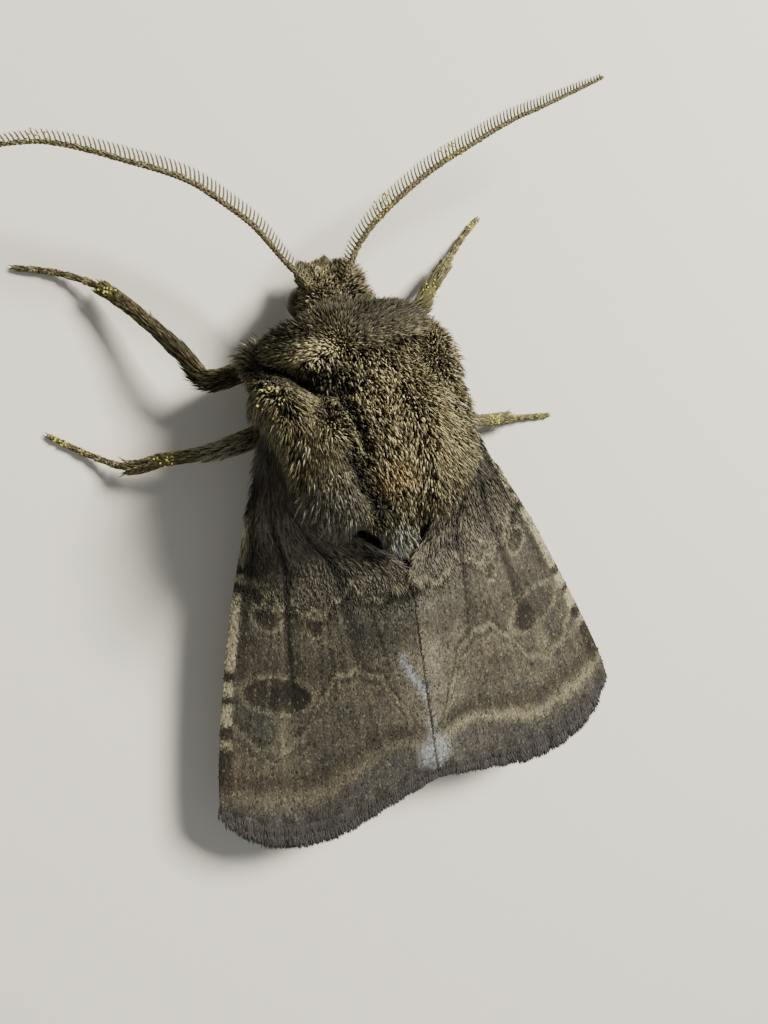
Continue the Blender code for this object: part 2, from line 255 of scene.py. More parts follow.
scaleFaces = np.array(((0, 2, 1), (0, 1, 3), (0, 3, 2), (1, 2, 3)))
scalePatch = np.array(((0.5, 0), (0, 1), (1, 1), (0.5, 0.6)))
scaleBlend = np.array((0.75, 1.0, 1.0, 1.0))[None, :, None]  # darker at the root
scaleThick = 0.009


# Flat wing scales: slim at the root, broad at the end, with a low ridge down the middle.
def growScales(name, root, lie, up, length, width, lift, tone, place, finish):
    side = np.cross(lie, up)
    lie = unit(lie + up * lift[:, None])
    up = unit(np.cross(side, lie))
    end = root + lie * length[:, None]
    half = side * (width / 2)[:, None]
    ridge = root + lie * (0.6 * length)[:, None] + up * scaleThick
    points = np.stack((root, end - half, end + half, ridge), 1)
    faces = outward(points - points.mean(1, keepdims=True), scaleFaces)
    tone = (tone[:, None] * scaleBlend).reshape(-1, 3)
    bake = bakeMap(place, scalePatch)
    return makePiece(name, points.reshape(-1, 3), faces, finish, tone, bake, smooth=False)


def newFinish(name, roughness, specular=0.3, sheen=0.0, coat=0.0):
    finish = bpy.data.materials.new(name)
    finish.use_nodes = True
    nodes, links = finish.node_tree.nodes, finish.node_tree.links
    shader = nodes["Principled BSDF"]
    shader.inputs["Roughness"].default_value = roughness
    shader.inputs["Specular IOR Level"].default_value = specular
    shader.inputs["Sheen Weight"].default_value = sheen
    shader.inputs["Coat Weight"].default_value = coat
    return finish, nodes, links, shader


def addNode(nodes, kind, **values):
    node = nodes.new(kind)
    for key, value in values.items():
        if key in node.inputs:
            node.inputs[key].default_value = value
        else:
            setattr(node, key, value)
    return node


def addRelief(finish, height, strength, distance, invert=False):  # fine bumps from a noise
    _, nodes, links, shader = finish
    relief = addNode(nodes, "ShaderNodeBump", Strength=strength, Distance=distance, invert=invert)
    links.new(height, relief.inputs["Height"])
    links.new(relief.outputs["Normal"], shader.inputs["Normal"])


def addBlend(finish, source, low, high):  # a blend of two tones, each given with its place on the noise
    _, nodes, links, shader = finish
    ramp = addNode(nodes, "ShaderNodeValToRGB")
    for element, (place, tone) in zip(ramp.color_ramp.elements, (low, high)):
        element.position = place
        element.color = tone
    links.new(source, ramp.inputs["Fac"])
    links.new(ramp.outputs["Color"], shader.inputs["Base Color"])


scaleLook = {"specular": 0.16, "sheen": 0.04, "detail": 3.0, "roughness": 0.6, "range": (0.3, 0.7)}


# Hair and wing scales: the tone of each one, speckled, with fine bumps.
def scaleFinish(name, roughness, grain, contrast, bump, distance):
    made = newFinish(name, roughness, scaleLook["specular"], scaleLook["sheen"])
    finish, nodes, links, shader = made
    tone = addNode(nodes, "ShaderNodeAttribute", attribute_name="scaleTone")
    where = addNode(nodes, "ShaderNodeTexCoord")
    speck = addNode(nodes, "ShaderNodeTexNoise", Scale=grain, Detail=scaleLook["detail"],
                    Roughness=scaleLook["roughness"])
    ramp = addNode(nodes, "ShaderNodeMapRange")
    ramp.inputs["From Min"].default_value, ramp.inputs["From Max"].default_value = scaleLook["range"]
    ramp.inputs["To Min"].default_value = 1 - contrast
    ramp.inputs["To Max"].default_value = 1 + contrast
    shade = addNode(nodes, "ShaderNodeVectorMath", operation="SCALE")
    links.new(where.outputs["Object"], speck.inputs["Vector"])
    links.new(speck.outputs["Fac"], ramp.inputs["Value"])
    links.new(tone.outputs["Color"], shade.inputs[0])
    links.new(ramp.outputs["Result"], shade.inputs["Scale"])
    links.new(shade.outputs["Vector"], shader.inputs["Base Color"])
    addRelief(made, speck.outputs["Fac"], bump, distance)
    return finish


hairFinish = scaleFinish("hairScales", 0.62, grain=14000, contrast=0.3, bump=0.3, distance=0.000006)
skinFinish = scaleFinish("bodySkin", 0.8, grain=6000, contrast=0.45, bump=0.8, distance=0.00004)
wingFinish = scaleFinish("wingScales", 0.7, grain=16000, contrast=0.28, bump=0.35, distance=0.000005)
membraneFinish = scaleFinish("wingMembrane", 0.72, grain=9000, contrast=0.4, bump=0.7, distance=0.00002)
legFinish = scaleFinish("legShell", 0.5, grain=8000, contrast=0.35, bump=0.5, distance=0.00001)
hornFinish = scaleFinish("feelerHorn", 0.5, grain=12000, contrast=0.3, bump=0.4, distance=0.000006)


eyeLook = {
    "roughness": 0.36, "specular": 0.16, "coat": 0.04,
    "facets": 26000, "uneven": 0.15, "bump": 0.6, "depth": 0.000012,
    "clouds": 2200, "dark": (0.35, (0.008, 0.006, 0.004, 1)), "light": (0.75, (0.035, 0.022, 0.012, 1)),
}


def eyeFinish():
    look = eyeLook
    made = newFinish("compoundEye", look["roughness"], look["specular"], coat=look["coat"])
    finish, nodes, links, _ = made
    where = addNode(nodes, "ShaderNodeTexCoord")
    cells = addNode(nodes, "ShaderNodeTexVoronoi", Scale=look["facets"], Randomness=look["uneven"])
    cloud = addNode(nodes, "ShaderNodeTexNoise", Scale=look["clouds"], Detail=2.0)
    for noise in (cells, cloud):
        links.new(where.outputs["Object"], noise.inputs["Vector"])
    addBlend(made, cloud.outputs["Fac"], look["dark"], look["light"])
    addRelief(made, cells.outputs["Distance"], look["bump"], look["depth"], invert=True)
    return finish


# Colours as linear red, green and blue.
tones = {
    "black": (0.014, 0.012, 0.009),
    "dark": (0.040, 0.032, 0.020),
    "brown": (0.150, 0.122, 0.062),
    "grey": (0.215, 0.194, 0.120),
    "pale": (0.430, 0.392, 0.250),
    "cream": (0.640, 0.570, 0.370),
    "white": (0.680, 0.680, 0.620),
    "orange": (0.300, 0.185, 0.090),
    "steel": (0.300, 0.315, 0.330),
    "wingDark": (0.044, 0.040, 0.031),
    "wingLight": (0.072, 0.062, 0.045),
    "wingSlate": (0.033, 0.033, 0.030),
    "wingRusset": (0.088, 0.070, 0.046),
    "wingEdge": (0.050, 0.046, 0.043),
    "wingUnder": (0.20, 0.175, 0.14),
    "fringe": (0.048, 0.044, 0.042),
    "fringeTip": (0.095, 0.087, 0.078),
    "hindwing": (0.30, 0.265, 0.215),
    "hindFringe": (0.36, 0.32, 0.26),
    "feeler": (0.095, 0.085, 0.042),
    "feelerEnd": (0.16, 0.13, 0.08),
    "branch": (0.100, 0.092, 0.044),
    "bristle": (0.15, 0.14, 0.07),
    "leg": (0.115, 0.092, 0.058),
    "legEnd": (0.08, 0.06, 0.04),
    "spur": (0.19, 0.155, 0.10),
    "claw": (0.05, 0.03, 0.015),
    "tongue": (0.10, 0.055, 0.02),
    "pollenDust": (0.26, 0.27, 0.06),
}
tones = {name: np.array(value) for name, value in tones.items()}

# Tufts of the thorax: x, y and the reach both ways seen from above, how sharp they end and from what height,
# then the share of pale tips and the tones of tip and root with their strengths.
coatMarks = {
    "creamTuft": {"at": (1.38, -1.45, 0.62, 0.36), "sharp": 1.5, "height": (3.0, 3.8), "share": 0.86,
                  "tip": (tones["cream"] * 1.35, 0.95), "root": (tones["brown"] * 1.5, 0.8)},
    "orangeTuft": {"at": (0.10, 2.70, 0.60, 0.50), "sharp": 1.3, "height": (3.6, 4.4), "share": 0.85,
                   "tip": (mix(tones["orange"], tones["pale"], 0.45) * 1.5, 0.9),
                   "root": (tones["orange"] * 0.9, 0.7)},
    "paleTuft": {"at": (-0.10, 3.55, 0.50, 0.42), "sharp": 1.3, "height": (3.6, 4.4), "share": 0.8,
                 "tip": (mix(tones["grey"], tones["pale"], 0.6), 0.85), "root": (tones["dark"], 0.0)},
    "greyTuft": {"at": (0.15, 4.60, 0.50, 0.42), "sharp": 1.5, "height": (3.0, 3.7), "share": 0.72,
                 "tip": (tones["white"] * 0.85, 0.92), "root": (tones["steel"] * 0.5, 0.7)},
}
hollows = (  # hollows between the tufts, carved in and painted dark as shade: both ends, half width, and how deep and dark
    ((3.3, -1.30), (2.05, -0.85), 0.30, 0.85),
    ((2.05, -0.80), (0.75, -0.28), 0.30, 0.92),
    ((0.98, -0.1), (0.80, 0.8), 0.18, 0.8),
    ((0.80, 0.8), (0.62, 1.7), 0.17, 0.85),
    ((1.30, 1.75), (1.12, 2.4), 0.36, 1.0),
    ((1.15, 2.4), (0.84, 3.35), 0.46, 1.0),
    ((1.45, 4.35), (1.05, 5.0), 0.34, 1.0),
)


def reach(points, mark):
    x, y, wide, long = coatMarks[mark]["at"]
    return np.exp(-(((points[:, 0] - x) / wide) ** 2 + ((points[:, 1] - y) / long) ** 2) ** 1.5)


def hollowAt(points):  # 1 in the middle of a hollow of the fur, 0 away from them; it sets both the carving and the painted shade
    flat, deepest = points[:, :2], np.zeros(len(points))
    for start, end, wide, dark in hollows:
        start, end = np.array(start), np.array(end)
        t = np.clip(((flat - start) @ (end - start)) / ((end - start) @ (end - start)), 0, 1)
        apart = np.linalg.norm(flat - start - t[:, None] * (end - start), axis=1)
        deepest = np.maximum(deepest, dark * np.exp(-((apart / wide) ** 2)))
    return deepest * step(2.8, 3.6, points[:, 2])


furPlan = {
    "palest": 0.15, "white": 0.12, "dark": 0.30,  # shares of the tufts in each tone
    # painted shade darkens the collar flank and the left side, painted light brightens the disc
    "frontShade": 0.58, "flankPaintedShade": 0.62, "leftPaintedShade": 0.18, "discPaintedLight": 0.78,
    "tint": (0.88, 0.895, 0.80), "ashen": (1.2, 1.165, 1.03),
}


# Root and tip colours of the body coat. The same function colours the skin under it.
def furTones(points, hollow=0.0):
    n = len(points)
    x, y, z = points.T
    plan = furPlan
    patch = 0.5 + 0.5 * bumps(points, 0.9, 3)
    fine = 0.5 + 0.5 * bumps(points, 0.20, 4)
    front = step(-1.35, -2.1, y) * step(2.6, 3.6, z)
    disc = near(x, -0.7, 1.0) * step(-0.9, -0.1, y) * step(3.6, 3.0, y) * step(4.2, 5.0, z)
    flank = step(0.8, -0.3, x) * step(-3.2, -2.4, x) * step(-0.9, -1.4, y) * step(2.6, 3.6, z)
    root = mix(tones["dark"] * np.ones((n, 3)), tones["brown"], 0.18 + 0.22 * patch)
    tip = mix(tones["brown"] * np.ones((n, 3)), tones["grey"], np.clip(0.1 + 0.9 * fine, 0, 1))

    # pale, white and dark tufts among the others
    draw = chance.random(n)
    palest = plan["palest"] + 0.20 * patch + 0.12 * disc - 0.04 * front
    pale = mix(tones["pale"], tones["cream"], 0.4) * np.ones((n, 3))
    tip = np.where((draw < palest)[:, None], pale, tip)
    tip = np.where((draw < palest * plan["white"])[:, None], tones["white"] * 0.9 * np.ones((n, 3)), tip)
    darkest = draw > 1 - plan["dark"] + 0.14 * disc
    tip = np.where(darkest[:, None], tones["dark"] * (1 + 1.2 * fine[:, None]), tip)

    # darker on the front of the collar; painted shade on the flank and the left side, painted light on the
    # disc on the back
    level = (1 - plan["frontShade"] * front * step(-3.4, -2.7, y)) * (1 - plan["flankPaintedShade"] * flank)
    level = level * (1 - plan["leftPaintedShade"] * step(0.9, 1.5, x)) + plan["discPaintedLight"] * disc
    tip, root = tip * level[:, None], root * (level[:, None] ** 0.5)
    tip = mix(tip, mix(tones["orange"], tones["pale"], 0.35), 0.28 * disc)

    for name, mark in coatMarks.items():
        tuft = np.clip(mark["sharp"] * reach(points, name), 0, 1) * step(*mark["height"], z)
        (tipTone, tipShare), (rootTone, rootShare) = mark["tip"], mark["root"]
        tip = mix(tip, tipTone, tuft * (draw < mark["share"]) * tipShare)
        root = mix(root, rootTone, tuft * rootShare)

    # painted shade: tips and roots turn near black in the hollows between the tufts
    hollow = np.maximum(hollow, hollowAt(points) * 0.9)
    tip = mix(tip, tones["black"] * 1.2, hollow * 0.94)
    root = mix(root, tones["black"], hollow * 0.9)
    under = step(2.6, 1.6, z) * step(4.6, 4.0, y)
    tip = mix(tip, tones["grey"], under * 0.5)
    belly = step(4.4, 5.2, y) * step(3.9, 2.4, z)
    tip = mix(tip, tones["pale"] * 0.8, belly * 0.5)
    tint = np.array(plan["tint"])
    ashen = 0.7 * step(1.6, 3.2, y) * step(1.0, 1.7, x)  # the left pad's long rear hair is greyer
    return root * tint, mix(tip * tint, tip.mean(1, keepdims=True) * plan["ashen"], ashen)


# The skin is the fleshy nodes as one body, drawn in by the depth of the coat.
skinPlan = {
    "voxel": 0.11, "smooth": 0.5, "bridge": 0.25, "hollow": 0.60,
    "depth": {"head": 0.38, "collar": 0.68, "thorax": 0.66, "tegula_left": 0.66, "tegula_right": 0.66,
              "abdomen": 0.34, "palp_left": 0.10, "palp_right": 0.10},
}


def meshArrays(mesh):  # its points and its triangles
    points = np.empty(len(mesh.vertices) * 3, np.float32)
    mesh.vertices.foreach_get("co", points)
    mesh.calc_loop_triangles()
    faces = np.empty(len(mesh.loop_triangles) * 3, np.int32)
    mesh.loop_triangles.foreach_get("vertices", faces)
    return points.reshape(-1, 3), faces.reshape(-1, 3)


def cadMesh(name):  # a node's points in the moth's frame and its triangles
    points, faces = meshArrays(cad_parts[name].data)
    return (points - frameOrigin) / mm, faces


solids = {name: cadMesh(name) for name in skinPlan["depth"]}
solidTrees = {name: BVHTree.FromPolygons(p.tolist(), f.tolist()) for name, (p, f) in solids.items()}
nodeNames = list(solidTrees)


def nearestNode(points):  # which of the fleshy nodes lies nearest to each point
    best = np.full(len(points), 1e9)
    which = np.zeros(len(points), int)
    for k, tree in enumerate(solidTrees.values()):
        apart = np.array([tree.find_nearest(p)[3] for p in points.tolist()])
        which[apart < best] = k
        best = np.minimum(best, apart)
    return which


def scratchMesh(points, faces, modifiers):  # runs modifiers on a mesh in mm, and gives it back
    mesh = bpy.data.meshes.new("scratch")
    mesh.from_pydata(points.tolist(), [], faces.tolist())
    holder = addObject("scratch", mesh)
    for kind, settings in modifiers:
        modifier = holder.modifiers.new(kind, kind)
        for key, value in settings.items():
            setattr(modifier, key, value)
    made = holder.evaluated_get(bpy.context.evaluated_depsgraph_get()).to_mesh()
    points, faces = meshArrays(made)
    normals = np.empty(len(made.vertices) * 3, np.float32)
    made.vertices.foreach_get("normal", normals)
    bpy.data.objects.remove(holder)
    bpy.data.meshes.remove(mesh)
    return points.astype(float), faces, normals.reshape(-1, 3).astype(float)


def makeSkin():
    def remeshed(points, faces, rounds):
        return scratchMesh(points, faces, (
            ("REMESH", {"mode": "VOXEL", "voxel_size": skinPlan["voxel"]}),
            ("SMOOTH", {"factor": skinPlan["smooth"], "iterations": rounds}),
        ))

    points, faces, normals = remeshed(*joined(solids.values()), 2)
    points = points + normals * skinPlan["bridge"]  # closes the cuts between the nodes
    points, faces, normals = remeshed(points, faces, 5)
    depths = np.array([skinPlan["depth"][name] for name in nodeNames])[nearestNode(points)]
    depths = depths + skinPlan["bridge"] + skinPlan["hollow"] * hollowAt(points)
    return remeshed(points - normals * depths[:, None], faces, 4)


skinPoints, skinFaces, skinNormals = makeSkin()
skinNode = nearestNode(skinPoints)
skinRoot, skinTip = furTones(skinPoints)
bodySkin = makePiece("bodySkin", skinPoints, skinFaces, skinFinish, skinRoot * 0.7 + skinTip * 0.1)
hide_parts(*nodeNames)
print("skin:", len(skinFaces), "triangles")


trunkHeight = 2.6


# Cylinder unwrap of the skin round the length of the body.
def trunkPlace(points):
    turn = np.arctan2(points[:, 0], points[:, 2] - trunkHeight) / (2 * math.pi) + 0.5
    return np.stack((turn, points[:, 1]), 1)


def scatterOnSkin(count):
    corner = skinPoints[skinFaces]
    area = np.linalg.norm(np.cross(corner[:, 1] - corner[:, 0], corner[:, 2] - corner[:, 0]), axis=1)
    pick = chance.choice(len(skinFaces), count, p=area / area.sum())
    a, b = np.sqrt(chance.random(count)), chance.random(count)
    weights = np.stack((1 - a, a * (1 - b), a * b), 1)
    roots = (corner[pick] * weights[:, :, None]).sum(1)
    normals = unit((skinNormals[skinFaces[pick]] * weights[:, :, None]).sum(1))
    return roots, normals, skinNode[skinFaces[pick][:, 0]]


# The way that each stretch of the coat flows, as x, y and z.
partingSpot = np.array((0.45, -1.55))  # the fur of the collar fans out from here


def headFlow(x, y, z):  # the brow hangs out over the eyes
    brow = step(0.3, 0.7, np.abs(x - headX)) * step(1.9, 2.5, z)
    outward = np.where(x > headX, 0.9, -1.4)
    return outward * brow - 0.35 * (1 - brow), -0.45 + 0.25 * brow, 0.25 - 0.1 * brow


def palpFlow(x, y, z):
    return 0 * x, 0 * x - 1.0, 0 * x + 0.45


def collarFlow(x, y, z):
    awayX, awayY = x - partingSpot[0], y - partingSpot[1]
    far = np.hypot(awayX, awayY) + 0.35
    side = step(1.4, 2.8, np.abs(x))
    return awayX / far, awayY / far + 0.35 * side, -0.25 * side


def discFlow(x, y, z):
    return -0.10 * x, 0 * x + 0.9, 0.12 * step(2.0, 4.0, y)


def padFlow(x, y, z):  # back over the wing root, but forward and down at the front of the pad
    front = step(-1.0, -1.6, y)
    outer = np.sign(x) * (np.abs(x) - 1.4)
    return 0.18 * outer + np.sign(x) * 0.4 * front, 0.95 - 1.0 * front, -0.14 * np.abs(outer) - 0.15 * front


def tailFlow(x, y, z):
    return 0.10 * x, 0 * x + 1.0, 0 * x


coatPlan = {
    "coatHead": {"nodes": ("head",), "flow": headFlow, "count": 9000,
                 "length": 0.54, "rise": 0.95, "width": 0.050, "clump": 0.14},
    "coatPalps": {"nodes": ("palp_left", "palp_right"), "flow": palpFlow, "count": 2400,
                  "length": 0.30, "rise": 0.5, "width": 0.03, "clump": 0.08},
    "coatCollar": {"nodes": ("collar",), "flow": collarFlow, "count": 26000,
                   "length": 0.80, "rise": 1.0, "width": 0.056, "clump": 0.15},
    "coatThorax": {"nodes": ("thorax",), "flow": discFlow, "count": 26000,
                   "length": 0.76, "rise": 1.0, "width": 0.058, "clump": 0.14},
    "coatTegulaLeft": {"nodes": ("tegula_left",), "flow": padFlow, "count": 28000,
                       "length": 1.05, "rise": 1.0, "width": 0.052, "clump": 0.32, "pull": 0.8, "stir": 0.40},
    "coatTegulaRight": {"nodes": ("tegula_right",), "flow": padFlow, "count": 26000,
                        "length": 0.78, "rise": 1.0, "width": 0.058, "clump": 0.15},
    "coatAbdomen": {"nodes": ("abdomen",), "flow": tailFlow, "count": 12000,
                    "length": 0.7, "rise": 0.8, "width": 0.05, "clump": 0.2},
}
tuftPlan = {
    "scatter": 420000, "underShare": 0.4,  # the underside is thinner than the back
    "stray": 0.17, "stir": 0.26, "pull": 0.55, "sunk": 0.05, "top": 6.36,
    "length": (0.62, 1.06), "width": (0.5, 1.35), "light": (0.8, 1.2),
    "longShare": 0.03, "longer": 1.25, "hollowShorter": 0.45, "hollowLower": 0.55,
    "rearLonger": 0.45, "rearDroop": 0.75, "rightBulge": 0.45, "belly": 0.68, "flat": 0.25,
}


def gatherTips(root, tip, size, pull):  # tips of neighbours lean together in wisps
    count = int(min(max(len(root) * 0.004 / size**2, 12), len(root) / 3))
    centres = chance.choice(len(root), count, replace=False)
    tree = KDTree(len(centres))
    for k, i in enumerate(centres.tolist()):
        tree.insert(root[i].tolist(), k)
    tree.balance()
    mate = np.array([centres[tree.find(p)[1]] for p in root.tolist()])
    return tip + (root[mate] - root) * pull * chance.uniform(0.3, 1.0, (len(root), 1))


def coatOf(plan, roots, normals, which):
    n = len(roots)
    x, y, z = roots.T
    hollow = hollowAt(roots)
    stir = np.stack([bumps(roots, 0.5, 20 + k) for k in range(3)], 1)
    flow = np.stack(plan["flow"](x, y, z), 1)
    flow = flow + tuftPlan["stray"] * chance.normal(size=(n, 3)) + plan.get("stir", tuftPlan["stir"]) * stir
    flow = flow - normals * (flow * normals).sum(1, keepdims=True)
    size = np.linalg.norm(flow, axis=1)
    flow = unit(flow)

    cream, grey = reach(roots, "creamTuft"), reach(roots, "greyTuft") * step(3.0, 3.7, z)
    length = plan["length"] * chance.uniform(*tuftPlan["length"], n)
    length *= 1 - tuftPlan["hollowShorter"] * hollow
    length *= 1 + 0.12 * bumps(roots, 0.4, 30)
    length *= np.where(chance.random(n) < tuftPlan["longShare"], tuftPlan["longer"], 1.0)
    length *= 1 - 0.2 * step(-1.0, -1.6, y) * (np.abs(x) > 2.4)
    length *= 1 + 0.25 * step(0.35, 0.8, np.abs(x - headX)) * step(1.9, 2.5, z) * (y < -2.5)
    length *= 1 + tuftPlan["rearLonger"] * step(2.2, 3.2, y) * step(1.1, 1.8, x)
    length *= 1 + 0.25 * cream + 0.7 * grey

    depth = np.array([skinPlan["depth"][name] for name in nodeNames])[which]
    tall = 1 - chance.random(n) ** 1.6  # most stand near the full depth of the coat
    rise = depth * plan["rise"] * (0.50 + 0.56 * tall) * (1 - tuftPlan["hollowLower"] * hollow)
    rise *= 1 + 0.3 * cream + 0.3 * grey
    rise *= 1 + tuftPlan["rightBulge"] * step(-2.7, -3.4, x) * step(-1.6, -0.6, y)
    rise = np.minimum(rise, length * 0.95)
    run = np.sqrt(np.maximum(length**2 - rise**2, 0)) * np.minimum(size, 1)

    tip = roots + normals * rise[:, None] + flow * run[:, None]
    tip[:, 2] -= tuftPlan["rearDroop"] * length * step(2.7, 3.6, y) * step(1.0, 1.5, x)
    short = tuftPlan["hollowLower"] * hollowAt(tip) * (1 - hollow)  # hair stops short of a hollow
    tip = roots + (tip - roots) * (1 - short)[:, None]
    tip = gatherTips(roots, tip, plan["clump"], plan.get("pull", tuftPlan["pull"]))
    tip[:, 2] = np.minimum(tip[:, 2], tuftPlan["top"])
    bend = roots + normals * (rise * 0.85)[:, None] + flow * (run * 0.22)[:, None]
    rootTone, tipTone = furTones(roots + 0.7 * (tip - roots), hollow)
    light = chance.uniform(*tuftPlan["light"], (n, 1))
    return {
        "root": roots - normals * tuftPlan["sunk"], "bend": bend, "tip": tip,
        "width": plan["width"] * chance.uniform(*tuftPlan["width"], n),
        "rootTone": rootTone * light, "tipTone": tipTone * (0.38 + 0.72 * tall)[:, None] * light,
        "place": trunkPlace(roots),
    }


def makeBodyCoat():
    roots, normals, which = scatterOnSkin(tuftPlan["scatter"])
    keep = (normals[:, 2] > -0.35) | (chance.random(len(roots)) < tuftPlan["underShare"])
    for name, plan in coatPlan.items():
        mine = keep & np.isin(which, [nodeNames.index(node) for node in plan["nodes"]])
        index = np.flatnonzero(mine)[: plan["count"]]
        hair = coatOf(plan, roots[index], normals[index], which[index])
        growHair(name, hair, hairFinish, belly=tuftPlan["belly"], flat=tuftPlan["flat"])
        print(name, len(index), "tufts of", mine.sum())


makeBodyCoat()


eyePlan = {"radius": 0.54, "flat": 0.96, "rings": 32, "around": 48}


def makeEye(side, finish):
    rings, around, hand = eyePlan["rings"], eyePlan["around"], sides[side]
    u, v = np.meshgrid(np.linspace(0, 2 * math.pi, around, endpoint=False),
                       np.linspace(0.02, math.pi - 0.02, rings))
    ball = np.stack((np.cos(v), np.sin(v) * np.cos(u), np.sin(v) * np.sin(u)), -1).reshape(-1, 3)
    ball = ball * (1, 1, eyePlan["flat"]) * eyePlan["radius"]
    pole = np.array((hand * eyePlan["radius"], 0, 0))
    centre = np.array((headX + (eyeSpot[0] - headX) * hand, eyeSpot[1], eyeSpot[2]))
    points = np.vstack((ball * (hand, 1, 1) + centre, centre + pole, centre - pole))
    quads = gridFaces(rings, around, closed=True)
    k, count = np.arange(around), rings * around
    after = (k + 1) % around
    inner = np.stack((np.full(around, count), after, k), 1)
    outer = np.stack((np.full(around, count + 1), count - around + k, count - around + after), 1)
    faces = np.concatenate((quads[:, (0, 1, 2)], quads[:, (0, 2, 3)], inner, outer))
    eye = makePiece("eye" + side, points, faces if hand > 0 else faces[:, ::-1], finish)
    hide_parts("eye_" + side.lower())


compoundEye = eyeFinish()
for side in sides:
    makeEye(side, compoundEye)
print("eyes")


wingPlan = {
    "rootY": -0.6, "innerRootY": 0.4, "apexY": 13.5, "tornusY": 14.7, "bulge": 1.55, "cornerRound": 0.3,
    "costa": (2.97, 0.37, 0.24),  # start, slope and bow of the front edge
    "inner": ((-0.3, 2.78), (1.5, 2.78), (3.0, 2.35), (4.0, 1.72), (4.8, 1.06), (5.3, 0.48), (5.9, 0.07)),
    "ridge": ((0.0, 3.3), (2.6, 3.85), (4.6, 4.7), (6.2, 4.95)),
    "ridgeFall": 0.25,
    "costaLow": 1.24, "costaDrop": 2.1, "costaDropLength": 6.5,
    "raise": {"Left": math.radians(4.3), "Right": math.radians(8.5)},
    "edge": 0.95, "edgeDip": 0.006, "bays": 9,  # where the membrane ends, and its dips between the veins
    "topDepth": 0.10, "thick": 0.12,
    # each vein's place across at its root and at the outer edge
    "veins": ((0.98, 0.975), (0.72, 0.90), (0.72, 0.82), (0.72, 0.73), (0.72, 0.62),
              (0.48, 0.52), (0.48, 0.43), (0.48, 0.33), (0.48, 0.23), (0.3, 0.09)),
    "veinHeight": 0.015, "veinWidth": 0.015, "foldWidth": 0.04,
    "paleVeins": ((0.72, 0.82, 0.4), (0.60, 0.52, 0.4), (0.48, 0.33, 0.35), (0.48, 0.23, 0.4)),
}
foldPlan = (  # the two folds: place, lean, depth and stretch of the groove, then how dark its line is
    {"at": 0.75, "lean": 0.13, "deep": 0.06, "groove": (0.15, 0.3, 0.6, 0.85),
     "shade": 1.0, "dark": 0.92, "width": 0.021, "line": (0.15, 0.25, 0.62, 0.68)},
    {"at": 0.57, "lean": 0.42, "deep": 0.05, "groove": (0.1, 0.25, 0.55, 0.8),
     "shade": 1.2, "dark": 0.90, "width": 0.019, "line": (0.12, 0.22, 0.56, 0.72)},
)


def ridgeHeight(y):
    return curve(y, wingPlan["ridge"]) - wingPlan["ridgeFall"] * np.maximum(y - wingPlan["ridge"][-1][0], 0)


# A point of the roof: along from root to outer edge, across from inner margin to front edge.
def roofPoint(side, along, across):
    plan = wingPlan
    start, slope, bow = plan["costa"]
    costaY = plan["rootY"] + (plan["apexY"] - plan["rootY"]) * along
    costaX = start + slope * costaY + bow * np.sin(math.pi * np.clip(costaY / plan["apexY"], 0, 1))
    innerY = plan["innerRootY"] + (plan["tornusY"] - plan["innerRootY"]) * along
    innerX = curve(innerY, plan["inner"])
    y = innerY + (costaY - innerY) * across
    y = y + plan["bulge"] * along**5 * np.sin(math.pi * np.clip(across, 0, 1) ** 1.5) ** 0.85
    x = innerX + (costaX - innerX) * across
    x = x - plan["cornerRound"] * along**16 * across**8
    y = y - plan["cornerRound"] * along**16 * (0.4 * across**12 + 0.6 * (1 - across) ** 8)
    costaZ = plan["costaLow"] + plan["costaDrop"] * np.exp(-(y + 0.3) / plan["costaDropLength"])
    ridgeZ = ridgeHeight(y)
    rise = (costaZ - ridgeZ) * (0.8 * across + 0.2 * across**2)
    turn = plan["raise"][side]
    cosine, sine = math.cos(turn), math.sin(turn)
    points = (x * cosine - rise * sine, y, ridgeZ + x * sine + rise * cosine)
    return np.stack(points, -1) * (sides[side], 1, 1)


def foldAt(fold, along, across, width, stretch):
    return near(across, fold["at"] - fold["lean"] * along, width) * between(along, *stretch)


# Veins stand up as fine ribs and fan out from the cell; the two folds are shallow grooves.
def veinRelief(along, across):
    plan = wingPlan
    fan = step(0.1, 0.95, along)
    raised = 0.0
    for root, end in plan["veins"]:
        vein = near(across, root + (end - root) * fan, plan["veinWidth"])
        raised = raised + plan["veinHeight"] * vein * (0.5 + 0.5 * step(0.2, 0.6, along))
    for fold in foldPlan:
        raised = raised - fold["deep"] * foldAt(fold, along, across, plan["foldWidth"], fold["groove"])
    return raised + 0.025 * np.sin(across * 17) * step(0.2, 1.0, along)


def wingSurface(side, along, across, under=0.0):  # points under the coat, and the ways along and up
    def raw(a, c):
        p = roofPoint(side, a, c)
        p[..., 2] += veinRelief(a, c)
        return p

    small = 0.002
    lie = unit(raw(along + small, across) - raw(along - small, across))
    over = raw(along, np.minimum(across + small, 1)) - raw(along, np.maximum(across - small, 0))
    up = unit(np.cross(over, lie)) * sides[side]
    up = up * np.sign(up[..., 2:3])
    return raw(along, across) - up * np.asarray(wingPlan["topDepth"] + under)[..., None], lie, up


def bay(across):  # 0 at a vein of the outer edge, 1 between two
    return np.abs(np.sin(across * math.pi * wingPlan["bays"]))


def edgeEnd(across):
    return wingPlan["edge"] - wingPlan["edgeDip"] * bay(across)


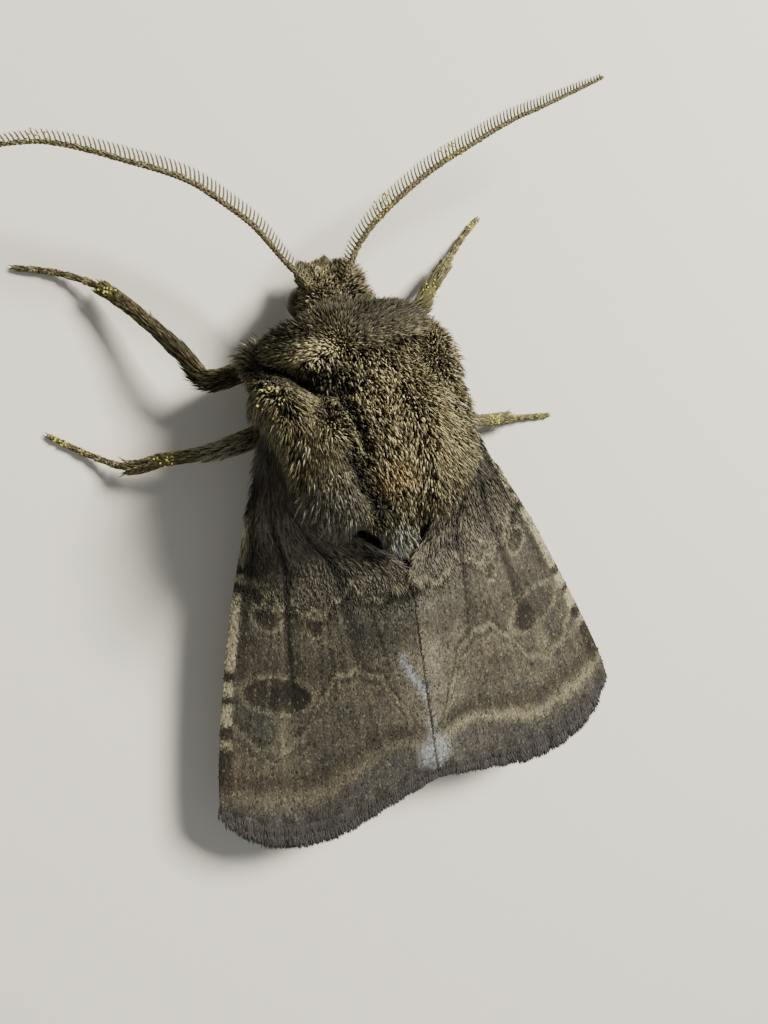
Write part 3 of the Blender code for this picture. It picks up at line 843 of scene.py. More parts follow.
# Cross-lines of the pattern, as along for a given across.
patternLines = {
    "basal": ((0.0, 0.17), (0.5, 0.20), (1.0, 0.15)),
    "first": ((0.0, 0.365), (0.2, 0.43), (0.35, 0.40), (0.5, 0.455), (0.7, 0.44), (0.85, 0.40), (1.0, 0.36)),
    "middle": ((0.0, 0.52), (0.3, 0.54), (0.6, 0.60), (0.8, 0.57), (1.0, 0.52)),
    "second": ((0.0, 0.84), (0.08, 0.78), (0.16, 0.69), (0.24, 0.63), (0.42, 0.61), (0.52, 0.66),
               (0.62, 0.745), (0.75, 0.775), (0.88, 0.75), (1.0, 0.68)),
    "outer": ((0.0, 0.86), (0.19, 0.83), (0.38, 0.855), (0.57, 0.885), (0.75, 0.885), (0.95, 0.895),
              (1.0, 0.90)),
}
costaDashes = ((0.24, 0.355), (0.375, 0.395), (0.42, 0.60), (0.625, 0.66), (0.68, 0.73), (0.765, 0.785))
dashEnd = 0.006

# Marks of the pattern: centre, reach along and across, and slant.
wingMarks = {
    "spots": (((0.475, 0.805), 0.026, 0.075, -0.12), ((0.425, 0.865), 0.022, 0.04, -0.12),
              ((0.50, 0.55), 0.022, 0.045, -0.12)),
    "kidney": ((0.655, 0.745), 0.040, 0.165, -0.06),
    "paleSpot": ((0.755, 0.72), 0.065, 0.040),
    "tornus": ((0.885, 0.035), 0.035, 0.035),
}

# What differs between the wings: the strengths of some marks, and the tint. The left wing's weaker outer line
# and dimmer tint are painted shade, the right wing's brighter tint painted light.
wingSides = {
    "Left": {"secondFade": 0.6, "outer": 0.22, "outerWidth": 0.022, "kidney": 0.70,
             "blot": ((0.665, 0.675), 0.032, 0.095), "margin": 1.0, "tint": (0.97, 0.99, 1.0)},
    "Right": {"secondFade": 0.3, "outer": 0.70, "outerWidth": 0.014, "kidney": 0.35,
              "blot": ((0.665, 0.675), 0.032, 0.065), "margin": 0.12, "tint": (1.08, 1.11, 1.10)},
}


def wingTones(side, along, across, place):
    own = wingSides[side]
    broad, patch, fine = (bumps(place, size, seed) for size, seed in ((1.7, 40), (0.6, 41), (0.2, 42)))
    tone = mix(np.tile(tones["wingDark"], (len(along), 1)), tones["wingLight"], 0.5 + 0.5 * broad)
    tone = tone * (1 + 0.24 * patch + 0.16 * fine)[:, None]
    tone = tone * (1 + 0.75 * near(across, 0.0, 0.22) + 0.30 * step(0.62, 0.4, along))[:, None]

    def paint(colour, amount):
        nonlocal tone
        tone = mix(tone, colour, amount)

    def line(name, width, shift=0.0, scallop=0.008):
        wave = scallop * bay(across) + 0.004 * bumps(place, 0.5, 44)
        return near(along, curve(across, patternLines[name]) + shift + wave, width)

    def oval(centre, reachAlong, reachAcross, slant=0.0):
        a = (along - centre[0] - slant * (across - centre[1])) / reachAlong
        return a**2 + ((across - centre[1]) / reachAcross) ** 2

    paint(tones["wingSlate"], np.clip(1.0 * bumps(place, 0.9, 43) - 0.05, 0, 1))
    paint(tones["wingRusset"], np.clip(0.9 * bumps(place, 1.1, 45) - 0.15, 0, 1))

    # cross-lines, each pale between dark ones
    pale, dark, black = tones["pale"] * 0.42, tones["dark"] * 0.55, tones["black"]
    paint(dark, 0.45 * line("basal", 0.010))
    paint(dark * 0.9, 0.75 * line("first", 0.009, 0.016, 0.02))
    paint(pale, 0.60 * line("first", 0.008, -0.004, 0.02))
    paint(dark * 0.9, 0.45 * line("first", 0.006, -0.020, 0.02))
    paint(dark * 1.2, 0.35 * line("middle", 0.035, 0.0, 0.0))
    paint(dark, 0.70 * line("second", 0.008, -0.018, 0.014))
    paint(pale, 0.62 * line("second", 0.008, 0.0, 0.014) * (1 - own["secondFade"] * step(0.42, 0.6, across)))
    paint(dark, 0.50 * line("second", 0.006, 0.016, 0.014))
    paint(pale, 0.30 * line("second", 0.006, 0.030, 0.014) * step(0.6, 0.4, across))
    outerAt = curve(across, patternLines["outer"])
    paint(dark * 1.2, 0.60 * near(along, outerAt - 0.032, 0.024) * (along < outerAt))
    paint(tones["cream"] * 0.30, own["outer"] * line("outer", own["outerWidth"], 0.0, 0.006))
    paint(tones["wingEdge"] * (1 + 0.15 * patch)[:, None], 0.7 * step(0.0, 0.03, along - outerAt - 0.010))

    # the round spot and the kidney mark, outlined pale, the kidney's lower end black
    for mark in wingMarks["spots"]:
        spot = oval(*mark)
        paint(pale, 0.5 * near(spot, 1.25, 0.35))
        paint(dark * 0.8, 0.70 * step(1.0, 0.6, spot))
    kidney = oval(*wingMarks["kidney"])
    paint(pale, 0.42 * near(kidney, 1.2, 0.25))
    paint(dark * 0.9, own["kidney"] * step(1.0, 0.8, kidney))
    paint(black, 0.95 * step(1.25, 0.8, oval(*own["blot"]) + 0.2 * patch))
    paint(pale * 0.9, 0.50 * np.exp(-oval(*wingMarks["paleSpot"])))

    # dark folds, pale veins
    for fold in foldPlan:
        paint(black * fold["shade"], fold["dark"] * foldAt(fold, along, across, fold["width"], fold["line"]))
    for root, end, start in wingPlan["paleVeins"]:
        vein = near(across, root + (end - root) * step(0.1, 0.95, along), 0.007)
        paint(pale, 0.22 * vein * step(start, start + 0.15, along) * (0.6 + 0.4 * fine))

    # the front edge: pale dashes parted by dark, and a dark stripe inside them
    paint(dark * 0.9, 0.75 * near(across, 0.915, 0.022) * between(along, 0.10, 0.2, 0.55, 0.72))
    rim = step(0.942, 0.958, across)
    paint(dark * 0.8, 0.85 * rim * between(along, 0.12, 0.2, 0.85, 0.95))
    dash = np.max([between(along, low - dashEnd, low + dashEnd, high - dashEnd, high + dashEnd)
                   for low, high in costaDashes], axis=0)
    paint(mix(tones["pale"], tones["cream"], 0.45) * 0.46, 0.92 * rim * dash * step(0.9, 0.7, along))

    # bluish white where the inner margins meet, and dark dots along the outer edge
    margin = near(across, 0.10 - 0.13 * step(0.58, 0.76, along), 0.022)
    margin = margin * between(along, 0.56, 0.62, 0.74, 0.80)
    tornus = np.exp(-oval(*wingMarks["tornus"])) + 0.5 * near(across, 0.0, 0.02) * step(0.74, 0.8, along)
    white = margin * own["margin"] * (0.8 + 0.5 * fine) + tornus * 0.8
    paint(tones["steel"] * 0.9, 0.85 * np.clip(white, 0, 1))
    paint(dark * 0.8, 0.7 * near(along, 0.935, 0.010) * step(0.55, 0.9, bay(across)))
    if side == "Left":  # painted light on the root, which lies in the shadow of the pad and the thorax, and painted shade under the hollows of the fur
        rootPaintedLight = np.exp(-(((place[:, 0] - 3.1) / 1.2) ** 2 + ((place[:, 1] - 3.6) / 1.2) ** 2) ** 1.5)
        tone = tone * (1 + 2.0 * rootPaintedLight)[:, None]
        paint(black * 1.3, 0.85 * hollowAt(place))
    return np.clip(tone * own["tint"], 0.008, 0.9)


def wingPlace(along, across):
    return np.stack((across, along), 1)


membranePlan = {
    "rows": 150, "columns": 84, "crowd": 0.9, "shade": 0.8,
    "rim": 0.03, "thinRim": 0.12, "end": 1.02, "taper": 0.2, "thinEnd": 0.35,  # thinner to its edges
}


def makeMembrane(side):
    plan = membranePlan
    rows, columns = plan["rows"], plan["columns"]
    r, c = np.meshgrid(np.linspace(0, 1, rows), np.linspace(0, 1, columns) ** plan["crowd"], indexing="ij")
    along, across = r.ravel() * edgeEnd(c.ravel()), c.ravel()
    rim = np.minimum(across, 1 - across) / plan["rim"]
    thick = wingPlan["thick"] * np.sqrt(np.clip(rim, plan["thinRim"], 1))
    thick = thick * np.clip((plan["end"] - along) / plan["taper"], plan["thinEnd"], 1)
    top, _, _ = wingSurface(side, along, across)
    bottom, _, _ = wingSurface(side, along, across, thick)
    tone = wingTones(side, along, across, top * (sides[side], 1, 1)) * plan["shade"]
    under = tones["wingUnder"] * (1 + 0.25 * bumps(top, 0.4, 50))[:, None]
    wing = makePiece("wing" + side, np.vstack((top, bottom)), sheetFaces(rows, columns, side),
                     membraneFinish, np.vstack((tone, under)))
    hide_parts("forewing_" + side.lower())


wingScalePlan = {
    "wingLength": 14.6, "wingWidth": 7.3, "rootWidth": 0.22, "inset": 0.03,
    "pitch": 0.055, "length": 0.19, "width": 0.095, "lift": 0.05, "under": 0.004,
    "jitter": (0.0016, 0.0028), "sway": 0.14, "swirl": 0.16, "uneven": 0.22,
    "paleShare": 0.045, "darkShare": 0.10, "sizes": (0.75, 1.2), "lifts": (0.4, 1.6),
}


# Shingled scales over the top of a wing, in rows from the root to the outer edge.
def makeWingScales(side):
    plan = wingScalePlan
    rows = int(plan["wingLength"] * wingPlan["edge"] / plan["pitch"])
    spots = []
    for row in range(rows):
        along = 0.02 + (wingPlan["edge"] - plan["inset"]) * row / (rows - 1)
        wide = plan["wingWidth"] * (plan["rootWidth"] + (1 - plan["rootWidth"]) * along)
        count = int(wide / plan["pitch"])
        across = (np.arange(count) + 0.5 * (row % 2) + 0.25) / (count + 0.25)
        spots.append(np.stack((np.full(count, along), across), 1))
    spots = np.concatenate(spots)
    spots += chance.normal(0, 1, spots.shape) * plan["jitter"]
    along, across = np.clip(spots[:, 0], 0.01, 0.94), np.clip(spots[:, 1], 0.004, 0.996)
    n = len(along)
    root, lie, up = wingSurface(side, along, across, plan["under"])
    sway = chance.normal(0, plan["sway"], n) + plan["swirl"] * bumps(root, 0.8, 60)
    lie = unit(lie + np.cross(lie, up) * sway[:, None])
    tone = wingTones(side, along, across, root * (sides[side], 1, 1))
    draw = chance.random(n)
    tone = tone * np.exp(chance.normal(0, plan["uneven"], n))[:, None]
    tone = np.where((draw < plan["paleShare"])[:, None], mix(tone, tones["pale"] * 0.42, 0.4), tone)
    tone = np.where((draw > 1 - plan["darkShare"])[:, None], tone * 0.45, tone)
    length = plan["length"] * chance.uniform(*plan["sizes"], n)
    width = plan["width"] * chance.uniform(*plan["sizes"], n)
    lift = plan["lift"] * chance.uniform(*plan["lifts"], n)
    growScales("wingScales" + side, root, lie, up, length, width, lift, tone, wingPlace(along, across),
               wingFinish)
    print("wingScales" + side, n)


fringePlan = {
    "count": 9500, "inset": 0.014, "rootBand": 0.010,
    "layers": (0.62, 0.82, 1.0), "layerTones": (0.8, 1.2, 0.95), "layerDepth": 0.03,
    "notch": 0.06, "sway": 0.10, "beat": 0.04, "lengths": (0.86, 1.04), "width": (0.04, 0.075),
    "marginCount": 1500, "marginStart": 0.24, "marginReach": 0.69, "marginWay": (0.25, 0.75),
    "marginLengths": (0.24, 0.36),
}


# Rows of long fringe scales round the outer edge, and shorter ones along the inner margin.
def makeFringe(side):
    plan = fringePlan
    n, m = plan["count"], plan["marginCount"]
    layer = chance.integers(0, 3, n)
    across = chance.random(n)
    along = edgeEnd(across) - plan["inset"] + plan["rootBand"] * chance.random(n)
    root, _, up = wingSurface(side, along, across, plan["layerDepth"] * layer)
    outer, _, _ = wingSurface(side, np.full(n, 0.998), across)
    toEdge = np.linalg.norm(outer - root, axis=1)
    out = unit(outer - root)
    ribs = np.abs(np.cos(across * math.pi * wingPlan["bays"]))
    sway = chance.normal(0, plan["sway"], n) + plan["beat"] * np.sin(across * math.pi * 2 * wingPlan["bays"])
    out = unit(out + np.cross(out, up) * sway[:, None])
    length = toEdge * np.array(plan["layers"])[layer] * chance.uniform(*plan["lengths"], n)
    length *= 1 - plan["notch"] * (1 - ribs)
    tip = root + out * length[:, None] - up * (0.02 + 0.06 * chance.random(n))[:, None]
    bend = root + out * (length * 0.5)[:, None] + up * 0.02
    base = tones["fringe"] * (1 + 0.25 * bumps(root, 0.5, 70))[:, None]
    tone = mix(base * 1.1, tones["fringeTip"], 0.35 * step(0.3, 0.9, ribs))
    tone = tone * np.array(plan["layerTones"])[layer][:, None] * chance.uniform(0.75, 1.25, (n, 1))

    marginAlong = plan["marginStart"] + plan["marginReach"] * chance.random(m)
    marginRoot, marginLie, marginUp = wingSurface(side, marginAlong, 0.012 + 0.012 * chance.random(m))
    inward = np.tile((-sides[side], 0.0, 0.0), (m, 1))
    marginOut = unit(marginLie + inward * chance.uniform(*plan["marginWay"], m)[:, None])
    marginLength = chance.uniform(*plan["marginLengths"], m)
    marginTip = marginRoot + marginOut * marginLength[:, None] - marginUp * 0.03
    marginBend = (marginRoot + marginTip) / 2 + marginUp * 0.03
    marginTone = wingTones(side, marginAlong, np.full(m, 0.02), marginRoot * (sides[side], 1, 1))
    marginTone = marginTone * chance.uniform(0.5, 1.2, (m, 1))
    width = chance.uniform(*plan["width"], n + m)
    allAlong = np.concatenate((along, marginAlong))
    allAcross = np.concatenate((across, 0.02 * chance.random(m)))
    growHair("fringe" + side, {
        "root": np.vstack((root, marginRoot)), "tip": np.vstack((tip, marginTip)),
        "bend": np.vstack((bend, marginBend)), "width": width,
        "rootTone": np.vstack((base * 0.75, marginTone * 0.7)), "tipTone": np.vstack((tone, marginTone)),
        "place": wingPlace(allAlong, allAcross),
    }, wingFinish, belly=0.8, flat=0.15)


rootHairPlan = {
    "count": 6000, "marginCount": 1500,  # over the root, and along the inner margin behind the thorax
    "reach": (0.02, 0.46), "marginReach": (0.10, 0.32), "marginBand": (0.01, 0.12),
    "sway": 0.14, "swirl": 0.3, "inward": (0.55, 0.0, 0.12), "length": (0.18, 0.65),
    "lengths": (0.6, 1.1), "marginLengths": (0.35, 0.7), "width": (0.035, 0.06), "shades": (0.6, 1.6),
}


# Longer hair-scales on the wing root, swept back from under the shoulder pad.
def makeWingRootHair(side):
    plan = rootHairPlan
    n, m = plan["count"], plan["marginCount"]
    start, far = plan["reach"]
    marginStart, marginFar = plan["marginReach"]
    inner, wide = plan["marginBand"]
    along = start + far * chance.random(n) ** 1.7
    along = np.concatenate((along, marginStart + marginFar * chance.random(m)))
    across = np.concatenate((chance.random(n) ** 1.1, inner + wide * chance.random(m)))
    root, lie, up = wingSurface(side, along, across)
    sway = chance.normal(0, plan["sway"], n + m) + plan["swirl"] * bumps(root, 0.8, 80)
    lie = lie + np.cross(lie, up) * sway[:, None]
    lie[n:] += np.array(plan["inward"]) * (-sides[side], 1, 1) * chance.uniform(0.4, 1.2, (m, 1))
    lie = unit(lie)
    fade = step(0.5, 0.1, along)
    shortest, more = plan["length"]
    length = (shortest + more * fade) * chance.uniform(*plan["lengths"], n + m)
    length[n:] = chance.uniform(*plan["marginLengths"], m)
    tip = root + lie * length[:, None] + up * ((0.02 + 0.18 * chance.random(n + m)) * fade)[:, None]
    bend = root + lie * (length * 0.4)[:, None] + up * (0.02 + 0.08 * fade)[:, None]
    tone = wingTones(side, along, across, root * (sides[side], 1, 1))
    tone = tone * chance.uniform(*plan["shades"], (n + m, 1))
    growHair("wingRootHair" + side, {
        "root": root, "bend": bend, "tip": tip, "width": chance.uniform(*plan["width"], n + m),
        "rootTone": tone * (0.95 - 0.4 * fade)[:, None], "tipTone": tone, "place": wingPlace(along, across),
    }, wingFinish, flat=0.25)


tailTuftPlan = {
    "count": 5200, "middle": 0.1, "spread": 0.75, "paleHalf": 0.48, "paleShare": 0.85, "darkShare": 0.45,
    "low": (3.55, 3.7), "deep": (0.9, 0.55), "fall": (0.25, 0.15),  # along the body and up
    "lengths": (0.9, 1.5), "droop": 0.10, "width": (0.035, 0.06), "shades": (0.5, 1.4),
}


# Long hair-scales behind the thorax: they close the space between the wing roots.
def makeTailTuft():
    plan = tailTuftPlan
    n = plan["count"]
    x = chance.normal(plan["middle"], plan["spread"], n)
    pale = (np.abs(x + 0.05) < plan["paleHalf"]) & (chance.random(n) < plan["paleShare"])
    y, z = (low + deep * chance.random(n) - fall * np.abs(x)
            for low, deep, fall in zip(plan["low"], plan["deep"], plan["fall"]))
    root = np.stack((x, y, z), 1)
    length = chance.uniform(*plan["lengths"], n)
    wayX = 0.10 * x + chance.normal(0, 0.10, n)
    wayY = 0.9 + chance.normal(0, 0.1, n)
    wayZ = 0.42 - 0.3 * np.abs(x) + 0.30 * pale + chance.normal(0, 0.10, n)
    way = unit(np.stack((wayX, wayY, wayZ), 1))
    tip = root + way * length[:, None]
    tip[:, 2] -= plan["droop"] * length
    bend = root + way * (0.5 * length)[:, None] + np.array((0, 0, 0.10))
    shade = chance.uniform(*plan["shades"], (n, 1))
    tipTone = np.where(pale[:, None], tones["white"] * 0.8, tones["brown"] * 0.75) * shade
    # painted shade: many hairs on the left side of the tuft are near black
    dark = (x > 0.5) & (chance.random(n) < plan["darkShare"])
    tipTone = np.where(dark[:, None], tones["black"] * 2.2 * shade, tipTone)
    rootTone = np.where(pale[:, None], tones["steel"] * 0.45, tones["dark"])
    growHair("tailTuft", {
        "root": root, "bend": bend, "tip": tip, "width": chance.uniform(*plan["width"], n),
        "rootTone": rootTone * shade, "tipTone": tipTone, "place": trunkPlace(root),
    }, hairFinish)


makeTailTuft()
for side in sides:
    makeMembrane(side)
    makeWingScales(side)
    makeFringe(side)
    makeWingRootHair(side)
print("forewings")


# The hindwings are folded under the forewings.
hindPlan = {
    "rows": 60, "columns": 110, "drop": 0.72, "thick": 0.10, "root": 0.1, "end": 0.8, "outer": 0.86,
    "pleats": 9, "pleatDepth": 0.05, "rim": 0.96,
    "fringe": 2600, "fringeAt": 0.945, "fringeLength": 0.50, "fringeLengths": (0.8, 1.1),
    "fringeWidth": (0.04, 0.07), "fringeDepth": 0.05,
}


def hindSurface(side, row, column, drop):
    inner = 0.35 - 0.09 * row
    across = inner + (hindPlan["outer"] - inner) * column
    end = hindPlan["end"] + 0.07 * np.sin(math.pi * column)
    along = hindPlan["root"] + (end - hindPlan["root"]) * row
    p = roofPoint(side, along, across)
    pleats = np.sin(column * math.pi * 2 * hindPlan["pleats"]) * step(0, 0.5, row)
    p[..., 2] += hindPlan["pleatDepth"] * pleats - drop
    return p


def makeHindwing(side):
    plan = hindPlan
    rows, columns = plan["rows"], plan["columns"]
    r, c = np.meshgrid(np.linspace(0, plan["rim"], rows), np.linspace(0, 1, columns), indexing="ij")
    r, c = r.ravel(), c.ravel()
    points = np.vstack([hindSurface(side, r, c, plan["drop"] + extra) for extra in (0, plan["thick"])])
    r, c = np.tile(r, 2), np.tile(c, 2)
    tone = tones["hindwing"] * (1 + 0.2 * bumps(points, 0.5, 90))[:, None]
    tone = tone * (1 - 0.35 * near(r, 0.62, 0.02))[:, None]
    shade = 0.75 * np.maximum(step(0.35, 0.0, r), step(0.86, 0.97, c))
    tone = mix(tone, tones["brown"] * 0.45, shade)  # dark at the root and along the front edge
    wing = makePiece("hindwing" + side, points, sheetFaces(rows, columns, side), membraneFinish,
                     tone)
    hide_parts("hindwing_" + side.lower())

    n = plan["fringe"]
    row, column = plan["fringeAt"] + 0.01 * chance.random(n), chance.random(n)
    root = hindSurface(side, row, column, plan["drop"] + plan["fringeDepth"])
    out = unit(root - hindSurface(side, row - 0.03, column, plan["drop"] + plan["fringeDepth"]))
    length = plan["fringeLength"] * chance.uniform(*plan["fringeLengths"], n)
    tip = root + out * length[:, None]
    width = chance.uniform(*plan["fringeWidth"], n)
    tone = tones["hindFringe"] * chance.uniform(0.75, 1.2, (n, 1))
    growHair("hindFringe" + side, {
        "root": root, "bend": (root + tip) / 2 + (0, 0, 0.02), "tip": tip, "width": width,
        "rootTone": tone * 0.7, "tipTone": tone, "place": np.stack((column, row + 0.3 * chance.random(n)), 1),
    }, wingFinish, belly=0.8, flat=0.2)


for side in sides:
    makeHindwing(side)
print("hindwings")


# Pollen caught on feelers, feet and shoulder.
pollenPlan = {
    "radius": 0.038, "sizes": (0.6, 1.1), "scatter": 0.012, "dust": 0.36, "dustReach": 1.9,
    "roughness": 0.6, "specular": 0.3, "spots": 60000, "bump": 0.5, "depth": 0.000008,
    "dark": (0.34, 0.38, 0.05, 1), "light": (0.58, 0.60, 0.16, 1),
    "clumps": (  # centre, size and number of grains
        ((-2.38, -5.38, 3.75), 0.30, 34), ((-4.96, -6.65, 4.0), 0.22, 22), ((7.1, -8.7, 3.9), 0.16, 10),
        ((6.5, -4.95, 0.95), 0.16, 22), ((9.2, -0.7, 0.3), 0.22, 30), ((6.3, 0.7, 1.55), 0.2, 16),
        ((-4.3, -2.85, 1.45), 0.26, 34), ((-5.6, -3.85, 0.8), 0.24, 18), ((-7.0, -4.9, 0.3), 0.24, 34),
        ((-5.9, 2.33, 1.25), 0.30, 44), ((-7.2, 2.6, 0.6), 0.28, 24), ((-8.4, 2.8, 0.3), 0.2, 24),
        ((3.0, -0.35, 5.0), 0.26, 24),
    ),
}


def dusted(points, tone):  # hair near the pollen takes on its yellow-green
    amount = np.zeros(len(points))
    for centre, size, _ in pollenPlan["clumps"]:
        apart = np.linalg.norm(points - np.array(centre), axis=1)
        dust = np.exp(-((apart / (size * pollenPlan["dustReach"])) ** 2))
        amount = np.maximum(amount, pollenPlan["dust"] * dust)
    return mix(tone, tones["pollenDust"], amount * chance.uniform(0.3, 1.0, len(points)))


# Each feeler is a shaft of short joints with two combs of side branches.
feelerPlan = {
    "joints": 92, "perJoint": 4, "around": 10, "ripple": 0.16,
    "shaft": ((0.0, 0.13), (0.04, 0.095), (0.5, 0.08), (1.0, 0.045)),  # radius along the feeler
    "branch": ((0.0, 0.10), (0.08, 0.26), (0.25, 0.40), (0.6, 0.38), (0.85, 0.24), (1.0, 0.08)),
    "branchRadius": 0.036, "branchTaper": 0.018, "branchBend": 0.35, "branchAround": 6,
    "bristles": 7, "bristleLength": 0.09, "bristleWidth": 0.012,
    "scales": 900, "scaleLength": 0.13, "scaleWidth": (0.03, 0.05), "scaleSpread": 1.2,
    "routes": {
        "Left": ((0.62, -3.62, 3.2), (1.13, -4.4, 3.2), (1.86, -5.53, 3.4), (2.47, -6.18, 3.5),
                 (3.46, -7.01, 3.7), (4.72, -7.63, 3.8), (6.88, -8.53, 3.7), (8.13, -8.67, 3.6),
                 (9.9, -8.7, 3.4)),
        "Right": ((-0.72, -3.7, 3.2), (-1.45, -4.62, 3.2), (-2.38, -5.33, 3.4), (-4.05, -6.23, 3.7),
                  (-5.57, -6.79, 3.8), (-7.16, -7.33, 3.8), (-8.56, -7.66, 3.8), (-11.15, -8.34, 3.6)),
    },
    "scape": (0.55, -3.35, 2.75),  # where the feeler leaves the brow
}


def routeCurve(route, count):  # evenly spaced points on a smooth curve through the route
    route = np.array(route, float)
    spans = np.concatenate(((0,), np.cumsum(np.linalg.norm(np.diff(route, axis=0), axis=1))))
    at = np.linspace(0, spans[-1], count)
    return np.stack([curve(at, np.stack((spans, route[:, k]), 1)) for k in range(3)], 1), spans


def makeFeeler(side):
    plan = feelerPlan
    x, y, z = plan["scape"]
    route = ((x * sides[side], y, z),) + plan["routes"][side]
    steps = plan["joints"] * plan["perJoint"]
    middle, _ = routeCurve(route, steps + 1)
    t = np.linspace(0, 1, steps + 1)
    wave = np.sin(t * plan["joints"] * 2 * math.pi)
    radii = curve(t, plan["shaft"]) * (1 + plan["ripple"] * wave) * (1 + 0.7 * near(t, 0.0, 0.02))
    along, across, up = axesOf(middle)
    parts, bristles = [tube(middle, radii, plan["around"])], []
    s = np.linspace(0, 1, 6)[:, None]
    for joint in range(1, plan["joints"]):
        i = joint * plan["perJoint"]
        length = float(curve(t[i], plan["branch"]))
        front = across[i] * math.copysign(1, -across[i][1])  # one comb points forward, the other down
        for out in (front * 0.95 - up[i] * 0.15, front * 0.15 - up[i] * 0.95):
            out = unit(unit(out) + along[i] * 0.18)
            bent = unit(out * 0.8 + along[i] * 0.6)
            foot, bend = middle[i] + out * radii[i] * 0.6, (bent - out) * plan["branchBend"]
            spine = foot + length * (out * s + bend * s**2)
            width = plan["branchRadius"] - plan["branchTaper"] * s[:, 0]
            parts.append(tube(spine, width, plan["branchAround"], upHint=along[i]))
            for place in 0.2 + 0.8 * np.arange(plan["bristles"]) / (plan["bristles"] - 1):
                start = foot + length * (out * place + bend * place**2)
                for lean in (1, -1):
                    point = unit(bent * 0.8 + along[i] * lean * 0.5 + chance.normal(0, 0.15, 3))
                    bristles.append((start, start + point * plan["bristleLength"]))
    points, faces = joined(parts)
    ringTones = np.repeat(0.8 + 0.5 * (wave > 0), plan["around"])[:, None]
    branchTones = np.tile(tones["branch"], (len(points) - len(parts[0][0]), 1))
    tone = np.vstack((tones["feeler"] * ringTones, np.tile(tones["feelerEnd"], (2, 1)), branchTones))
    feeler = makePiece("feeler" + side, points, faces, hornFinish, tone)
    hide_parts("antenna_" + side.lower())

    # fine bristles on the combs and flat scales on the back of the shaft
    root, tip = (np.array(ends) for ends in zip(*bristles))
    n, m = plan["scales"], len(bristles)
    pick = chance.integers(1, steps - 3, n)
    turn = chance.uniform(-plan["scaleSpread"], plan["scaleSpread"], n)
    normal = up[pick] * np.cos(turn)[:, None] + across[pick] * np.sin(turn)[:, None]
    scaleRoot = middle[pick] + normal * (radii[pick] * 0.9)[:, None]
    root = np.vstack((root, scaleRoot))
    tip = np.vstack((tip, scaleRoot + along[pick] * plan["scaleLength"] + normal * 0.012))
    width = np.concatenate((np.full(m, plan["bristleWidth"]), chance.uniform(*plan["scaleWidth"], n)))
    scaleTone = mix(tones["brown"], tones["pale"], 0.12) * (0.4 + 0.9 * chance.random(n)[:, None])
    tone = np.vstack((np.tile(tones["bristle"], (m, 1)), scaleTone))
    joint = np.repeat(np.arange(1, plan["joints"]), m // (plan["joints"] - 1)) / plan["joints"]
    around01 = np.concatenate((0.15 + 0.7 * chance.random(m), 0.5 + turn / 3))
    along01 = np.concatenate((joint, pick / steps))
    tone = dusted(tip, tone)
    lift = np.vstack((np.zeros((m, 3)), normal * 0.015))
    growHair("feelerScales" + side, {
        "root": root, "bend": (root + tip) / 2 + lift + 1e-3, "tip": tip, "width": width,
        "rootTone": tone * 0.7, "tipTone": tone, "place": np.stack((around01, along01), 1),
    }, hornFinish)


for side in sides:
    makeFeeler(side)
print("feelers")


# The legs are jointed shells with hair-scales, banded feet and claws.
legPlan = {
    "foreleg_left": {"knee": 2.5, "ankle": 5.0, "route": (
        (1.4, -1.9, 1.6), (3.0, -1.5, 1.3), (4.2, -1.5, 1.75), (4.75, -2.35, 1.85), (5.5, -3.6, 1.4),
        (6.55, -4.98, 0.75), (7.67, -5.75, 0.24), (8.98, -6.2, 0.12))},
    "foreleg_right": {"knee": 2.3, "ankle": 3.7, "route": (
        (-1.2, -2.1, 1.6), (-2.5, -2.1, 1.35), (-3.4, -2.2, 1.6), (-4.25, -2.8, 1.2), (-5.64, -3.84, 0.6),
        (-6.5, -4.5, 0.2), (-7.3, -5.07, 0.12))},
    "midleg_left": {"knee": 2.1, "ankle": 4.0, "route": (
        (1.8, 0.3, 1.6), (3.4, 0.7, 1.75), (4.65, 0.8, 1.9), (6.2, 0.7, 1.4), (7.34, 0.7, 0.8),
        (8.44, 0.03, 0.24), (9.5, -0.9, 0.12))},
    "midleg_right": {"knee": 2.1, "ankle": 4.0, "route": (
        (-1.8, 0.9, 1.6), (-3.3, 1.5, 1.75), (-4.5, 2.0, 1.75), (-5.5, 2.25, 1.2), (-6.6, 2.45, 0.62),
        (-7.6, 2.65, 0.22), (-8.8, 2.86, 0.12))},
    "hindleg_left": {"knee": 2.1, "ankle": 4.0, "route": (
        (1.4, 2.8, 1.5), (2.7, 3.7, 1.15), (3.7, 4.7, 1.25), (4.2, 6.0, 1.0), (4.6, 7.4, 0.56),
        (4.85, 8.6, 0.2), (5.0, 9.85, 0.12))},
    "hindleg_right": {"knee": 2.1, "ankle": 4.0, "route": (
        (-1.4, 2.8, 1.5), (-2.8, 3.8, 1.35), (-3.9, 4.9, 1.5), (-4.6, 6.1, 1.15), (-5.2, 7.3, 0.6),
        (-5.7, 8.3, 0.22), (-6.12, 9.45, 0.12))},
}
legShape = {
    "femur": 0.25, "shin": 0.15, "foot": 0.085, "footJoints": 5, "around": 12, "steps": 160, "clear": 0.02,
}
spurPlan = {  # places along the shin and the side, for each pair of legs
    "fore": ((0.5, 1),), "midl": ((1, 1), (1, -1)), "hind": ((1, 1), (1, -1), (0.55, 1), (0.55, -1)),
    "length": 0.55, "radius": 0.055, "taper": 0.045, "around": 8,
}
clawPlan = {"length": 0.13, "splay": 0.06, "hook": 0.05, "radius": 0.022, "taper": 0.017, "around": 6}
legHairPlan = {
    "count": 3400, "length": 0.34, "rise": 0.085, "width": 0.05,
    "footLength": 0.17, "footRise": 0.03, "footWidth": 0.045, "tint": (0.62, 0.61, 0.48),
    "lengths": (0.75, 1.15), "rises": (0.6, 1.2), "widths": (0.7, 1.2), "paleShare": 0.25,
}


def footPlace(t, ankle):  # counts the joints of the foot
    return np.clip((t - ankle) / (1 - ankle), 0, 0.9999) * legShape["footJoints"]


